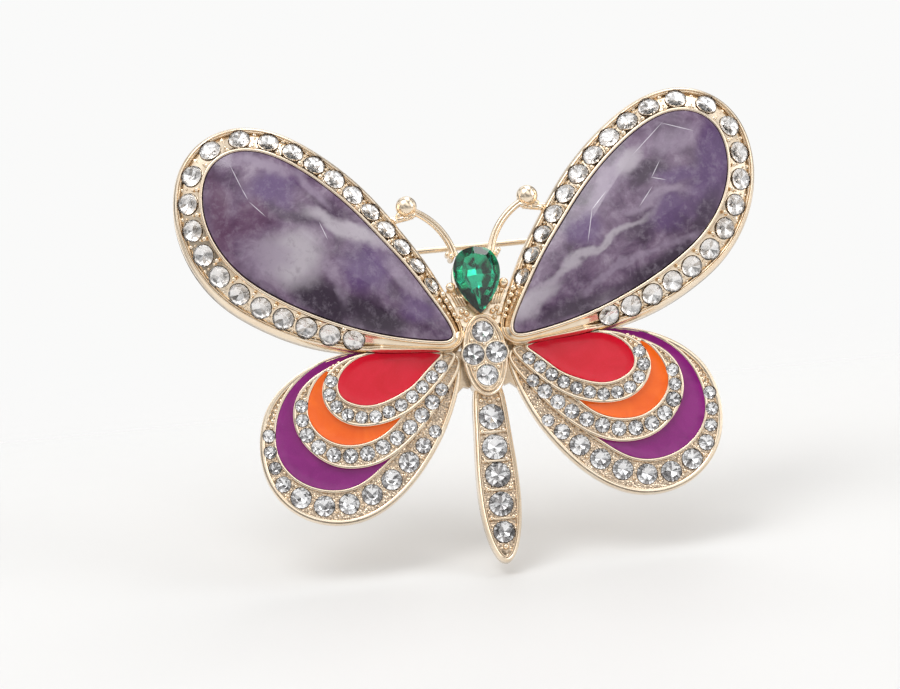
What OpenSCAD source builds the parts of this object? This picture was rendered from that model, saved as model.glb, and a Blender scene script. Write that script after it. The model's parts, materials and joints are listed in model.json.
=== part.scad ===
// Butterfly brooch: gem-set wing castings, enamelled lower wings, pear stone head,
// and a hinged pin stem with a rotating safety catch on the back.
// Shapes are drawn in the face plane (x across, y up the body, z out of the front, 0 at the
// castings' flat back) and on_face() then stands them up in the part's own frame.

/* [Overall] */
// Distance from the flat backs of the castings to the pin's axis, filled by cloth when worn
back_gap = 4.6; // [4.6:0.1:6]
// Height of the pin above the level of the antenna feet
pin_level = 0.8; // [0.4:0.1:1.2]

/* [Upper wings] */
// Height of the outer rim above the back
upper_rim_z = 2.5; // [2.4:0.05:2.8]
// Height of the bezel round the amethyst
bezel_z = 3.9; // [3.8:0.05:4.2]
// Width of the bezel wall
bezel_w = 0.4; // [0.3:0.05:0.5]
// Height of the tray floor under the amethyst
tray_z = 0.9; // [0.6:0.05:1.2]
// Thickness of the adhesive bed under the amethyst
bed_h = 0.3; // [0.2:0.05:0.5]
// Height of the amethyst's table above the back
amethyst_top = 5.4; // [5:0.1:6]
// Number of rhinestones in the border of one upper wing
upper_stones = 23; // [21:1:23]

/* [Lower wings] */
// Height of the lowest tier's floor
outer_floor = 1.05; // [1:0.05:1.15]
// Step in height from one tier to the next
tier_step = 0.42; // [0.4:0.01:0.45]
// Height of the thin walls above the floor they stand on
wall_h = 0.34; // [0.24:0.02:0.38]
// Thickness of the thin walls
wall_w = 0.22; // [0.18:0.02:0.26]
// Thickness of the enamel fills
enamel_h = 0.28; // [0.2:0.02:0.34]

/* [Body] */
// Height of the thorax rim
thorax_z = 3.2; // [3:0.1:3.5]
// Height of the abdomen rim
abdomen_z = 2.4; // [2.2:0.1:2.6]
// Height of the emerald's girdle above the back
emerald_z = 4; // [3.8:0.1:4.4]
// Diameter of the antenna wire
antenna_d = 0.85; // [0.7:0.05:0.95]
// Diameter of the ball on each antenna
ball_d = 2.3; // [2:0.1:2.4]

/* [Pin and catch] */
// Diameter of the pin stem
pin_d = 0.7; // [0.6:0.05:0.75]
// Distance of the hinge rivet from the mid-line
hinge_x = 14.5; // [14:0.1:15]
// Distance of the catch's middle from the mid-line
catch_x = 14; // [13.5:0.1:14.5]
// Diameter of the hinge rivet
rivet_d = 0.8; // [0.7:0.05:0.9]
// Radial clearance of the turning fits
fit_gap = 0.05; // [0.03:0.01:0.08]

/* [Hidden] */

gold = "#e3c48f";
clear = "#dfe3e8";
smooth = 48;
steps = 6;          // points between two controls of an outline
tall = 20;          // height of a cutter that passes through everything
seat_gap = 0.02;    // clearance round a stone in its seat
stone_proud = 0.12; // height of a girdle above the metal floor
seat_open = 2;      // a seat's cutter stands this far above the stone
// Round stone, each as a share of its diameter
crown_h = 0.17;
table_r = 0.3;
girdle_h = 0.03;
pavilion_h = 0.36;
culet_r = 0.12;
side_wall_z = 1.7;  // an upper wing's side is upright to this height and drafted above it
draft = 0.35;
rim_w = 0.25;
bezel_edge = 0.08;  // the bezel's inner edge stands back from the amethyst by this much
// Least distance of the rim's outer edge, its inner edge and the channel's foot from the bezel's foot
rim_least = [0.3, 0.12, 0.06];
middle_floor = outer_floor + tier_step;
inner_floor = middle_floor + tier_step;

// Amethyst outline, anticlockwise from its inner point. The third number is the width of the
// gem-set border outside it.
amethyst_controls = [
    [2.6, -11.2, 1.6], [5, -11.1, 0.9], [11.4, -9.8, 2], [17.7, -7.2, 3.35], [22.7, -4.3, 3.6],
    [26.8, -1, 3.8], [29.7, 4.5, 3.4], [29.1, 10.6, 3.3], [25, 12.9, 3.3], [19.9, 11.1, 3.2],
    [13.9, 5.8, 3.15], [10.4, 1.1, 2.85], [7.7, -2.4, 2.5], [5.6, -6, 2.2]
];
// Lower wing outlines, from the red field out to the rim
red_controls = [
    [4.8, -12.4], [5.8, -13.2], [7.3, -14.6], [8.5, -15.8], [12.5, -17.5], [15, -17],
    [16.7, -15.8], [16.4, -13.5], [14.1, -11.7], [11.2, -11.4], [7.7, -11.7], [5, -12.3]
];
inner_controls = [
    [2.7, -12.4], [4.4, -14.6], [7.5, -17.7], [10.2, -19.1], [12.9, -19.7], [16.2, -19.4],
    [18.7, -16.6], [18.1, -13.5], [15.7, -11.7], [12.3, -11.2], [8.1, -11.2], [3.9, -12]
];
orange_controls = [
    [5, -13], [6.4, -14.8], [8.6, -17.2], [10.2, -19.2], [12.7, -21.3], [17.4, -21.7],
    [20.75, -18.2], [19.35, -14.2], [17.1, -12.35], [14, -12], [10, -12.4], [6, -12.4]
];
middle_controls = [
    [1.9, -13], [4.8, -17], [8.2, -21.1], [11.9, -23.6], [14.7, -24.2], [18.5, -23.8],
    [22.2, -19.7], [21.6, -15.1], [18.3, -12.7], [13.6, -11.2], [8.3, -11.1], [3.8, -12]
];
purple_controls = [
    [4, -13.6], [7, -18.2], [9.8, -21.8], [12.2, -23.7], [15.6, -26.5], [20.7, -26],
    [24.7, -22.1], [23.1, -14.9], [17.5, -11.3], [14, -11], [9.6, -12], [5, -12.6]
];
outer_controls = [
    [2.1, -13.3], [4.3, -19.6], [6.8, -23.5], [10.2, -27.5], [15.5, -30.6], [22, -29.5],
    [26.2, -24.4], [25.6, -16.5], [20.9, -12.5], [15.9, -10.9], [9.2, -10.3], [3.4, -11.8]
];
// Right half of the abdomen and of the pear stone, from the top down
abdomen_half = [[1.1, -15.4], [1.85, -17], [2, -21], [2.4, -26], [2.35, -30.5], [1.7, -34], [0.7, -36.1]];
pear_half = [[1.05, -0.95], [2.3, -1.9], [2.8, -4], [2.05, -6.1], [0.95, -7.5], [0.1, -8.5]];
// Web that joins a lower wing to the thorax
web = [[1, -12], [3.6, -12], [3.3, -16.6], [2.6, -16], [2, -16.2], [1, -15]];
// Paths of the three rows of stones on a lower wing, and their diameters
inner_path = [
    [4.9, -13.7], [7.2, -15.75], [9.8, -17.55], [12.9, -18.55], [16, -17.9], [17.5, -15.7], [17.2, -14.1]
];
middle_path = [
    [5.1, -16.2], [7.5, -18.75], [10.6, -21.1], [14.2, -22.5], [18.1, -22.1], [20.6, -19.5], [20.7, -16.5]
];
outer_path = [
    [6.3, -20.7], [9.5, -23.8], [13.8, -26.95], [18.9, -27.85], [23.3, -25.3], [24.65, -21.2], [24.6, -19.4]
];
small_d = 1.4;
inner_sizes = [for (i = [0:11]) small_d];
middle_sizes = [for (i = [0:12]) i == 0 || i > 10 ? small_d : 1.65];
outer_sizes = [for (i = [0:11]) i > 1 && i < 8 ? 2.3 : i == 1 || i == 8 ? 1.75 : small_d];
// Thorax and abdomen stones: [x, y, diameter]
thorax_stones = [[0, -10.45, 2.35], [-1.28, -12.9, 2.35], [1.28, -12.9, 2.35], [0, -15.35, 2.35]];
abdomen_stones = [[0, -19.84, 2.8], [0, -23.25, 2.8], [0, -26.35, 2.8], [0, -29.6, 2.7], [0, -32.7, 2.4]];

// ---- points along curves ----

// Closed uniform cubic B-spline through the space of its control points
function closed_curve(p, n = steps) = let (m = len(p)) [
    for (i = [0:m - 1], j = [0:n - 1])
        let (t = j / n, a = p[(i + m - 1) % m], b = p[i], c = p[(i + 1) % m], d = p[(i + 2) % m])
        ((1 - t)^3 * a + (3 * t^3 - 6 * t^2 + 4) * b + (3 * t + 3 * t^2 - 3 * t^3 + 1) * c + t^3 * d) / 6
];
// Open curve that passes through every one of its points
function open_curve(p, n = 12) = let (
    m = len(p),
    q = concat([2 * p[0] - p[1]], p, [2 * p[m - 1] - p[m - 2]])
) [
    for (i = [0:m - 2], j = [0:n])
        if (j < n || i == m - 2)
            let (t = j / n, a = q[i], b = q[i + 1], c = q[i + 2], d = q[i + 3])
            (2 * b + (c - a) * t + (2 * a - 5 * b + 4 * c - d) * t^2 + (3 * b - a - 3 * c + d) * t^3) / 2
];
function flat(c) = [for (p = c) [p.x, p.y]];
function unit(v) = v / norm(v);
function normal_at(c, i) = let (m = len(c), d = c[(i + 1) % m] - c[(i + m - 1) % m]) unit([d.y, -d.x]);
// Each point moved outwards along the curve's normal
function grown(c, by) = [for (i = [0:len(c) - 1]) c[i] + by * normal_at(c, i)];
function mirrored(half) = concat(
    [for (i = [len(half) - 1:-1:0]) half[i]],
    [for (p = half) [-p.x, p.y]]
);
// Distance travelled at each point of a path
function lengths(c, i = 0, sum = 0) = i == len(c) - 1 ? [sum]
    : concat([sum], lengths(c, i + 1, sum + norm(c[i + 1] - c[i])));
function at_length(c, l, s) = [
    for (k = [0:len(c[0]) - 1]) lookup(s, [for (i = [0:len(c) - 1]) [l[i], c[i][k]]])
];
function total(v, upto) = upto <= 0 ? 0 : v[upto - 1] + total(v, upto - 1);
// Stones side by side along a path, with one even gap between neighbours: [x, y, diameter]
function stone_row(path, sizes) = let (
    c = open_curve(path),
    l = lengths(c),
    n = len(sizes),
    steps_between = [for (i = [0:n - 2]) (sizes[i] + sizes[i + 1]) / 2],
    gap = (l[len(l) - 1] - total(steps_between, n - 1)) / (n - 1)
) [for (i = [0:n - 1]) concat(at_length(c, l, total(steps_between, i) + i * gap), sizes[i])];

// ---- outlines ----

amethyst_wide = closed_curve(amethyst_controls);
amethyst_line = flat(amethyst_wide);
upper_line = [for (i = [0:len(amethyst_wide) - 1])
    amethyst_line[i] + amethyst_wide[i][2] * normal_at(amethyst_line, i)];
red_line = closed_curve(red_controls);
inner_line = closed_curve(inner_controls);
orange_line = closed_curve(orange_controls);
middle_line = closed_curve(middle_controls);
purple_line = closed_curve(purple_controls);
outer_line = closed_curve(outer_controls);
abdomen_line = closed_curve(mirrored(abdomen_half), 5);
pear_line = closed_curve(mirrored(pear_half), 4);
thorax_mid = [0, -13.02];
thorax_half = [2.5, 4.66];
function oval(inset, n = 60) = [for (i = [0:n - 1])
    thorax_mid + [(thorax_half.x - inset) * cos(i * 360 / n), (thorax_half.y - inset) * sin(i * 360 / n)]];

// Upper border: where the sloping channel starts and ends, from the amethyst outwards
channel_foot = 0.05;
bezel_drop = 0.4;
rim_drop = 0.35;
channel_in = bezel_w + 2 * channel_foot;
channel_out = draft + rim_w;
channel_in_z = bezel_z - bezel_drop;
channel_out_z = upper_rim_z - rim_drop;
channel_mid_z = (channel_in_z + channel_out_z) / 2 + stone_proud;
border_count = len(amethyst_wide);
border_lengths = lengths(concat(amethyst_line, [amethyst_line[0]]));
border_start = 0.149; // share of the way round where the stones start
border_end = 0.923;
// At each border point: [x, y] of the channel's middle, its width and its outward direction
border_mid = [for (i = [0:border_count - 1])
    let (
        w = amethyst_wide[i][2],
        n = normal_at(amethyst_line, i),
        r = (channel_in + w - draft - 2 * channel_foot) / 2
    )
    [amethyst_line[i].x + r * n.x, amethyst_line[i].y + r * n.y, w, atan2(n.y, n.x)]];
// Largest round the tip, smaller over the last quarter towards the body
upper_d = 2.45;
upper_least_d = 2;
shrink_from = 0.75;
function upper_size(f) = upper_d - (upper_d - upper_least_d) * max(0, f - shrink_from) / (1 - shrink_from);
// Even steps from under the wing, round its tip to the top: [x, y, direction outwards, tilt, diameter]
upper_stone_row = [for (i = [0:upper_stones - 1])
    let (
        f = i / (upper_stones - 1),
        p = at_length(border_mid, [for (k = [0:border_count - 1]) border_lengths[k]],
            border_lengths[border_count] * (border_start + f * (border_end - border_start))),
        run = p[2] - channel_in - channel_out
    )
    [p[0], p[1], p[3], atan2(channel_in_z - channel_out_z, run), upper_size(f)]
];

// Antenna wire: an arc from the head up to the ball
wire_centre = [9.7, -2.75];
wire_r = 7.8;
wire_from = 115;
wire_to = 170;
wire_z = 1.5;
ball_at = [6.8, 4.75];
lug_to = [9.4, 3.3];
lug_d = 0.9;

// Hinge and catch
rivet_r = rivet_d / 2;
eye_r = 1.15;
eye_w = 1.5;
ear_r = 1.2;
ear_w = 0.5;
ear_gap = 0.05;
ear_play = 0.01;    // the rivet is held by the ears and turns in the eye
rivet_head = [0.3, 0.3]; // height, and radius beyond the shank
plate_l = 4;
plate_w = 3.8;
plate_h = 0.5;
bore_r = 0.55;
roller_r = 1.2;
roller_l = 3.6;
flange_r = 1.5;
flange_l = 0.4;
housing_r = 1.7;
housing_l = 2.6;
slot_w = 1;
housing_post_w = 1.6;
lever_r = 2.5;
lever_w = 0.6;
lever_from = 0.7;
lever_proud = 0.3;
lever_at = -42;
root_d = 1;      // the stem is thicker at its root
root_l = 1.9;
root_cone = 0.6;
taper_x = 11;
tip_r = 0.1;
tip_over = 2.6;  // the point ends this far past the catch's middle

// ---- shared shapes ----

module on_face() {
    rotate([90, 0, 0]) translate([0, -pin_level, back_gap]) children();
}
module side(s) {
    if (s > 0) children();
    else mirror([1, 0, 0]) children();
}
module slab(line, z0, z1) {
    translate([0, 0, z0]) linear_extrude(z1 - z0) polygon(line);
}
// Upright wall between two outlines
module wall(outside, inside, z0, z1) {
    translate([0, 0, z0]) linear_extrude(z1 - z0) difference() {
        polygon(outside);
        polygon(inside);
    }
}
// Closed skin over rings of equal length, listed from the bottom to the top
module skin(rings) {
    n = len(rings[0]);
    m = len(rings);
    polyhedron(
        points = [for (r = rings, p = r) p],
        faces = concat(
            [[for (i = [0:n - 1]) i]],
            [for (k = [0:m - 2], i = [0:n - 1])
                let (j = (i + 1) % n) [k * n + i, k * n + n + i, k * n + n + j]],
            [for (k = [0:m - 2], i = [0:n - 1])
                let (j = (i + 1) % n) [k * n + i, k * n + n + j, k * n + j]],
            [[for (i = [n - 1:-1:0]) (m - 1) * n + i]]
        )
    );
}
function lifted(line, z) = [for (p = line) [p.x, p.y, z]];
// Round brilliant with a blunt point, its girdle at z = 0. A seat is a stone grown a little and open above.
module stone(d, grow = 0, up = 0) {
    r = d / 2 + grow;
    low = -pavilion_h * d - grow;
    high = crown_h * d + up;
    rotate_extrude($fn = smooth) polygon([
        [0, low], [culet_r * d + grow, low], [r, -girdle_h * d], [r, girdle_h * d + up],
        [up > 0 ? r : table_r * d, high], [0, high]
    ]);
}
module stones(list, z) {
    for (p = list) translate([p[0], p[1], z + stone_proud]) stone(p[2]);
}
module seats(list, z) {
    for (p = list) translate([p[0], p[1], z + stone_proud]) stone(p[2], seat_gap, seat_open);
}
module at_upper(p) {
    translate([p[0], p[1], channel_mid_z]) rotate([0, p[3], p[2]]) children();
}

// ---- castings ----

function from_rim(inset, least) = [for (i = [0:border_count - 1])
    amethyst_line[i] + max(amethyst_wide[i][2] - inset, channel_in + least) * normal_at(amethyst_line, i)];

module upper_wing_casting(s) {
    color(gold) on_face() side(s) difference() {
        skin([
            lifted(upper_line, 0),
            lifted(upper_line, side_wall_z),
            lifted(from_rim(draft, rim_least[0]), upper_rim_z),
            lifted(from_rim(draft + rim_w, rim_least[1]), upper_rim_z),
            lifted(from_rim(channel_out + channel_foot, rim_least[2]), channel_out_z),
            lifted(grown(amethyst_line, channel_in), channel_in_z),
            lifted(grown(amethyst_line, bezel_w), bezel_z),
            lifted(grown(amethyst_line, bezel_edge), bezel_z),
            lifted(grown(amethyst_line, seat_gap), tray_z)
        ]);
        for (p = upper_stone_row) at_upper(p) stone(p[4], seat_gap, seat_open);
        slab(oval(0), -1, tall);
    }
}

// The two thin walls of a tier: one inside its edge, one round its enamel
module tier_walls(edge, field, floor_z) {
    wall(edge, grown(edge, -wall_w), floor_z - wall_h, floor_z + wall_h);
    intersection() {
        wall(grown(field, wall_w), field, floor_z - wall_h, floor_z + wall_h);
        slab(edge, 0, tall);
    }
}
module lower_wing_casting(s) {
    color(gold) on_face() side(s) difference() {
        union() {
            slab(outer_line, 0, outer_floor);
            tier_walls(outer_line, purple_line, outer_floor);
            slab(middle_line, outer_floor / 2, middle_floor);
            tier_walls(middle_line, orange_line, middle_floor);
            slab(inner_line, outer_floor / 2, inner_floor);
            tier_walls(inner_line, red_line, inner_floor);
            slab(web, 0, outer_floor);
        }
        seats(stone_row(inner_path, inner_sizes), inner_floor);
        seats(stone_row(middle_path, middle_sizes), middle_floor);
        seats(stone_row(outer_path, outer_sizes), outer_floor);
        slab(upper_line, -1, tall);
        slab(oval(0), -1, tall);
    }
}

// A rim, a groove inside it and a raised wall inside the groove
thorax_rim_w = 0.22;
groove_w = 0.23;
groove_h = 0.4;
inner_wall_w = 0.2;
inner_wall_h = 0.25;
module thorax_casting() {
    inside = thorax_rim_w + groove_w;
    color(gold) on_face() difference() {
        union() {
            slab(oval(0), 0, thorax_z - groove_h);
            wall(oval(0), oval(thorax_rim_w), 0, thorax_z);
            slab(oval(inside), 0, thorax_z);
            wall(oval(inside), oval(inside + inner_wall_w), 0, thorax_z + inner_wall_h);
        }
        seats(thorax_stones, thorax_z);
    }
}

abdomen_draft = [0.22, 1.1]; // the side leans in by this much over this height
abdomen_rim_w = 0.2;
abdomen_floor = abdomen_z - 0.3;
tip_bead_y = -34.35;
tip_bead_d = 0.7;
bar_l = 2.6;
bar_d = 0.5;
module abdomen_casting() {
    rim_in = abdomen_draft[0] + abdomen_rim_w;
    color(gold) on_face() difference() {
        union() {
            skin([
                lifted(abdomen_line, 0),
                lifted(abdomen_line, abdomen_z - abdomen_draft[1]),
                lifted(grown(abdomen_line, -abdomen_draft[0]), abdomen_z),
                lifted(grown(abdomen_line, -rim_in), abdomen_z),
                lifted(grown(abdomen_line, -rim_in - channel_foot), abdomen_floor)
            ]);
            // Bead at the tip and cross-bars between the stones
            translate([0, tip_bead_y, abdomen_floor]) sphere(d = tip_bead_d, $fn = smooth);
            for (i = [0:len(abdomen_stones) - 2])
                let (y = (abdomen_stones[i][1] + abdomen_stones[i + 1][1]) / 2)
                translate([0, y, abdomen_floor]) rotate([0, 90, 0])
                    cylinder(h = bar_l, d = bar_d, center = true, $fn = smooth);
        }
        seats(abdomen_stones, abdomen_floor);
        slab(oval(0), -1, tall);
    }
}

pear_mid = [0, -4.1];
// The pear outline scaled about its middle
function about_pear(f) = [for (p = pear_line) pear_mid + f * (p - pear_mid)];
cup_line = about_pear(1.08);
stem_line = about_pear(0.95);
// Rings of the pear stone: the share of the outline and the height from the girdle
pear_cut = [[0.15, -2.3], [0.62, -1.2], [1, -0.1], [1, 0.1], [0.82, 0.6], [0.55, 0.85]];
module pear_stone() {
    skin([for (c = pear_cut) lifted(about_pear(c[0]), emerald_z + c[1])]);
}
// Flanks that fill the corners between the stone's point and the wings, with ribs, a bead and a knob each
flank = [[1.6, -5], [3.6, -5], [2.4, -9.4], [0, -9.4], [0, -7]];
flank_z = 2.2;
stem_z = emerald_z - 0.4;
prong_d = 0.7;
prong_at = [2.4, -1.45];
prong_z = emerald_z + 0.3;
knob_d = 1.15;
knob_at = [2.8, -5.35];
knob_z = emerald_z - 0.6;
bead_d = 0.9;
bead_at = [1.55, -8.1];
rib_at = [2.75, -6.1];
rib_step = 0.32;
rib_turn = -27;
rib_w = 0.16;
rib_l = 1.7;
rib_h = 0.3;
rib_sunk = 0.1;
module head_setting() {
    color(gold) on_face() difference() {
        union() {
            slab(cup_line, 0, flank_z);
            slab(stem_line, 0, stem_z);
            for (s = [-1, 1]) side(s) {
                slab(flank, 0, flank_z);
                for (k = [0:2]) translate([rib_at.x - rib_step * k, rib_at.y, flank_z - rib_sunk])
                    rotate([0, 0, rib_turn]) translate([-rib_w / 2, -rib_l, 0])
                        cube([rib_w, rib_l, rib_h + rib_sunk]);
                translate([bead_at.x, bead_at.y, flank_z]) sphere(d = bead_d, $fn = smooth);
                post(prong_at, prong_d, prong_z);
                post(knob_at, knob_d, knob_z);
            }
        }
        pear_stone();
        for (s = [-1, 1]) side(s) slab(upper_line, -1, tall);
        slab(oval(0), -1, tall);
    }
}
module post(at, d, h) {
    translate([at.x, at.y, 0]) cylinder(h = h, d = d, $fn = smooth);
    translate([at.x, at.y, h]) sphere(d = d, $fn = smooth);
}

module antenna(s) {
    color(gold) on_face() side(s) difference() {
        union() {
            translate([wire_centre.x, wire_centre.y, wire_z]) rotate([0, 0, wire_from])
                rotate_extrude(angle = wire_to - wire_from, $fn = smooth)
                    translate([wire_r, 0]) circle(d = antenna_d, $fn = smooth);
            translate([ball_at.x, ball_at.y, wire_z]) sphere(d = ball_d, $fn = smooth);
            translate([ball_at.x, ball_at.y, wire_z])
                rotate([0, 0, atan2(lug_to.y - ball_at.y, lug_to.x - ball_at.x)]) rotate([0, 90, 0])
                    cylinder(h = norm(lug_to - ball_at), d = lug_d, $fn = smooth);
        }
        slab(upper_line, -1, tall);
        slab(cup_line, -1, tall);
        translate([prong_at.x, prong_at.y, -1]) cylinder(h = tall, d = prong_d, $fn = smooth);
    }
}

// ---- stones and enamel ----

// Middle line that the amethyst's dome rises to
spine = [[7.5, -8], [23.5, 6]];
function on_spine(p) = let (d = spine[1] - spine[0], t = (p - spine[0]) * d / (d * d))
    spine[0] + max(0, min(1, t)) * d;
function toward_spine(f, z) = [for (p = amethyst_line) let (q = p + f * (on_spine(p) - p)) [q.x, q.y, z]];
// Rings of the dome: how far they lie towards the middle line, and their share of its rise
dome = [[0.12, 0.4], [0.34, 0.78], [0.66, 1]];
foot_bevel = [0.1, 0.3];
dome_foot = bezel_z - 0.1;
bed_inset = 0.2;
module amethyst(s) {
    color("#7a6288") on_face() side(s) skin(concat(
        [
            lifted(grown(amethyst_line, -foot_bevel[0]), tray_z + bed_h),
            lifted(amethyst_line, tray_z + bed_h + foot_bevel[1]),
            lifted(amethyst_line, dome_foot)
        ],
        [for (d = dome) toward_spine(d[0], bezel_z + d[1] * (amethyst_top - bezel_z))]
    ));
}
module amethyst_adhesive(s) {
    color("#e8e2d0") on_face() side(s) slab(grown(amethyst_line, -bed_inset), tray_z, tray_z + bed_h);
}
module emerald() {
    color("#0b7a52") on_face() pear_stone();
}
module upper_rhinestones(s) {
    color(clear) on_face() side(s) for (p = upper_stone_row) at_upper(p) stone(p[4]);
}
module inner_rhinestones(s) {
    color(clear) on_face() side(s) stones(stone_row(inner_path, inner_sizes), inner_floor);
}
module middle_rhinestones(s) {
    color(clear) on_face() side(s) stones(stone_row(middle_path, middle_sizes), middle_floor);
}
module outer_rhinestones(s) {
    color(clear) on_face() side(s) stones(stone_row(outer_path, outer_sizes), outer_floor);
}
module thorax_rhinestones() {
    color(clear) on_face() stones(thorax_stones, thorax_z);
}
module abdomen_rhinestones() {
    color(clear) on_face() stones(abdomen_stones, abdomen_floor);
}
// Enamel inside its own outline and its tier's rim, up to the tier that stands on it
module enamel(line, edge, tier, floor_z) {
    difference() {
        intersection() {
            slab(line, floor_z, floor_z + enamel_h);
            slab(grown(edge, -wall_w), floor_z, tall);
        }
        slab(tier, -1, tall);
        slab(upper_line, -1, tall);
    }
}
module red_enamel(s) {
    color("#c9283f") on_face() side(s) difference() {
        slab(red_line, inner_floor, inner_floor + enamel_h);
        slab(upper_line, -1, tall);
    }
}
module orange_enamel(s) {
    color("#f26a22") on_face() side(s) enamel(orange_line, middle_line, inner_line, middle_floor);
}
module purple_enamel(s) {
    color("#8a3480") on_face() side(s) enamel(purple_line, outer_line, middle_line, outer_floor);
}

// ---- pin, hinge and catch: the pin's axis is the X axis ----

module plate() {
    translate([-plate_l / 2, -back_gap, -plate_w / 2]) cube([plate_l, plate_h, plate_w]);
}
module hinge_bracket() {
    color(gold) translate([-hinge_x, 0, 0]) {
        plate();
        for (s = [-1, 1]) translate([0, 0, s * (eye_w / 2 + ear_gap + ear_w / 2) - ear_w / 2])
            linear_extrude(ear_w) difference() {
                union() {
                    circle(ear_r, $fn = smooth);
                    translate([-ear_r, -back_gap + plate_h]) square([2 * ear_r, back_gap - plate_h]);
                }
                circle(rivet_r + ear_play, $fn = smooth);
            }
    }
}
module hinge_rivet() {
    half = eye_w / 2 + ear_gap + ear_w;
    color(gold) translate([-hinge_x, 0, 0]) {
        translate([0, 0, -half]) cylinder(h = 2 * half, r = rivet_r, $fn = smooth);
        for (s = [-1, 1]) translate([0, 0, s * (half + rivet_head[0] / 2) - rivet_head[0] / 2])
            cylinder(h = rivet_head[0], r = rivet_r + rivet_head[1], $fn = smooth);
    }
}
module pin_stem() {
    tip_x = catch_x + tip_over;
    color(gold) difference() {
        union() {
            translate([-hinge_x, 0, -eye_w / 2]) cylinder(h = eye_w, r = eye_r, $fn = smooth);
            translate([-hinge_x, 0, 0]) rotate([0, 90, 0]) cylinder(h = root_l, d = root_d, $fn = smooth);
            translate([root_l - hinge_x, 0, 0]) rotate([0, 90, 0])
                cylinder(h = root_cone, r1 = root_d / 2, r2 = pin_d / 2, $fn = smooth);
            translate([root_l - hinge_x, 0, 0]) rotate([0, 90, 0])
                cylinder(h = hinge_x - root_l + taper_x, d = pin_d, $fn = smooth);
            translate([taper_x, 0, 0]) rotate([0, 90, 0])
                cylinder(h = tip_x - taper_x, r1 = pin_d / 2, r2 = tip_r, $fn = smooth);
        }
        translate([-hinge_x, 0, -tall / 2]) cylinder(h = tall, r = rivet_r + fit_gap, $fn = smooth);
    }
}
// Tube along X with a slot facing +Y
module slotted_tube(l, r, bore) {
    difference() {
        translate([-l / 2, 0, 0]) rotate([0, 90, 0]) cylinder(h = l, r = r, $fn = smooth);
        translate([-tall / 2, 0, 0]) rotate([0, 90, 0]) cylinder(h = tall, r = bore, $fn = smooth);
        translate([-tall / 2, 0, -slot_w / 2]) cube([tall, tall, slot_w]);
    }
}
module catch_housing() {
    bore = roller_r + fit_gap;
    color(gold) translate([catch_x, 0, 0]) {
        slotted_tube(housing_l, housing_r, bore);
        difference() {
            translate([-housing_l / 2, -back_gap + plate_h, -housing_post_w / 2])
                cube([housing_l, back_gap - plate_h, housing_post_w]);
            translate([-tall / 2, 0, 0]) rotate([0, 90, 0])
                cylinder(h = tall, r = (housing_r + bore) / 2, $fn = smooth);
        }
        plate();
    }
}
module catch_roller() {
    color(gold) translate([catch_x, 0, 0]) difference() {
        union() {
            translate([-roller_l / 2, 0, 0]) rotate([0, 90, 0])
                cylinder(h = roller_l, r = roller_r, $fn = smooth);
            for (s = [-1, 1]) translate([s * (roller_l - flange_l) / 2 - flange_l / 2, 0, 0])
                rotate([0, 90, 0]) cylinder(h = flange_l, r = flange_r, $fn = smooth);
            translate([roller_l / 2 - flange_l, 0, 0]) rotate([lever_at, 0, 0])
                translate([0, lever_from, -lever_w / 2])
                    cube([flange_l + lever_proud, lever_r - lever_from, lever_w]);
        }
        translate([-tall / 2, 0, 0]) rotate([0, 90, 0]) cylinder(h = tall, r = bore_r, $fn = smooth);
        translate([-tall / 2, 0, -slot_w / 2]) cube([tall, tall, slot_w]);
    }
}

upper_wing_casting(-1);  // upper_wing_casting_left
upper_wing_casting(1);  // upper_wing_casting_right
lower_wing_casting(-1);  // lower_wing_casting_left
lower_wing_casting(1);  // lower_wing_casting_right
thorax_casting();
abdomen_casting();
head_setting();
antenna(-1);  // antenna_left
antenna(1);  // antenna_right
amethyst(-1);  // amethyst_left
amethyst(1);  // amethyst_right
amethyst_adhesive(-1);  // amethyst_adhesive_left
amethyst_adhesive(1);  // amethyst_adhesive_right
emerald();
upper_rhinestones(-1);  // upper_rhinestones_left
upper_rhinestones(1);  // upper_rhinestones_right
inner_rhinestones(-1);  // inner_rhinestones_left
inner_rhinestones(1);  // inner_rhinestones_right
middle_rhinestones(-1);  // middle_rhinestones_left
middle_rhinestones(1);  // middle_rhinestones_right
outer_rhinestones(-1);  // outer_rhinestones_left
outer_rhinestones(1);  // outer_rhinestones_right
thorax_rhinestones();
abdomen_rhinestones();
red_enamel(-1);  // red_enamel_left
red_enamel(1);  // red_enamel_right
orange_enamel(-1);  // orange_enamel_left
orange_enamel(1);  // orange_enamel_right
purple_enamel(-1);  // purple_enamel_left
purple_enamel(1);  // purple_enamel_right
hinge_bracket();
hinge_rivet();
pin_stem();
catch_housing();
catch_roller();
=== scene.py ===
import json
import math

import bmesh
import bpy
import numpy as np
from mathutils import Matrix, Vector
from mathutils.geometry import delaunay_2d_cdt


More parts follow.
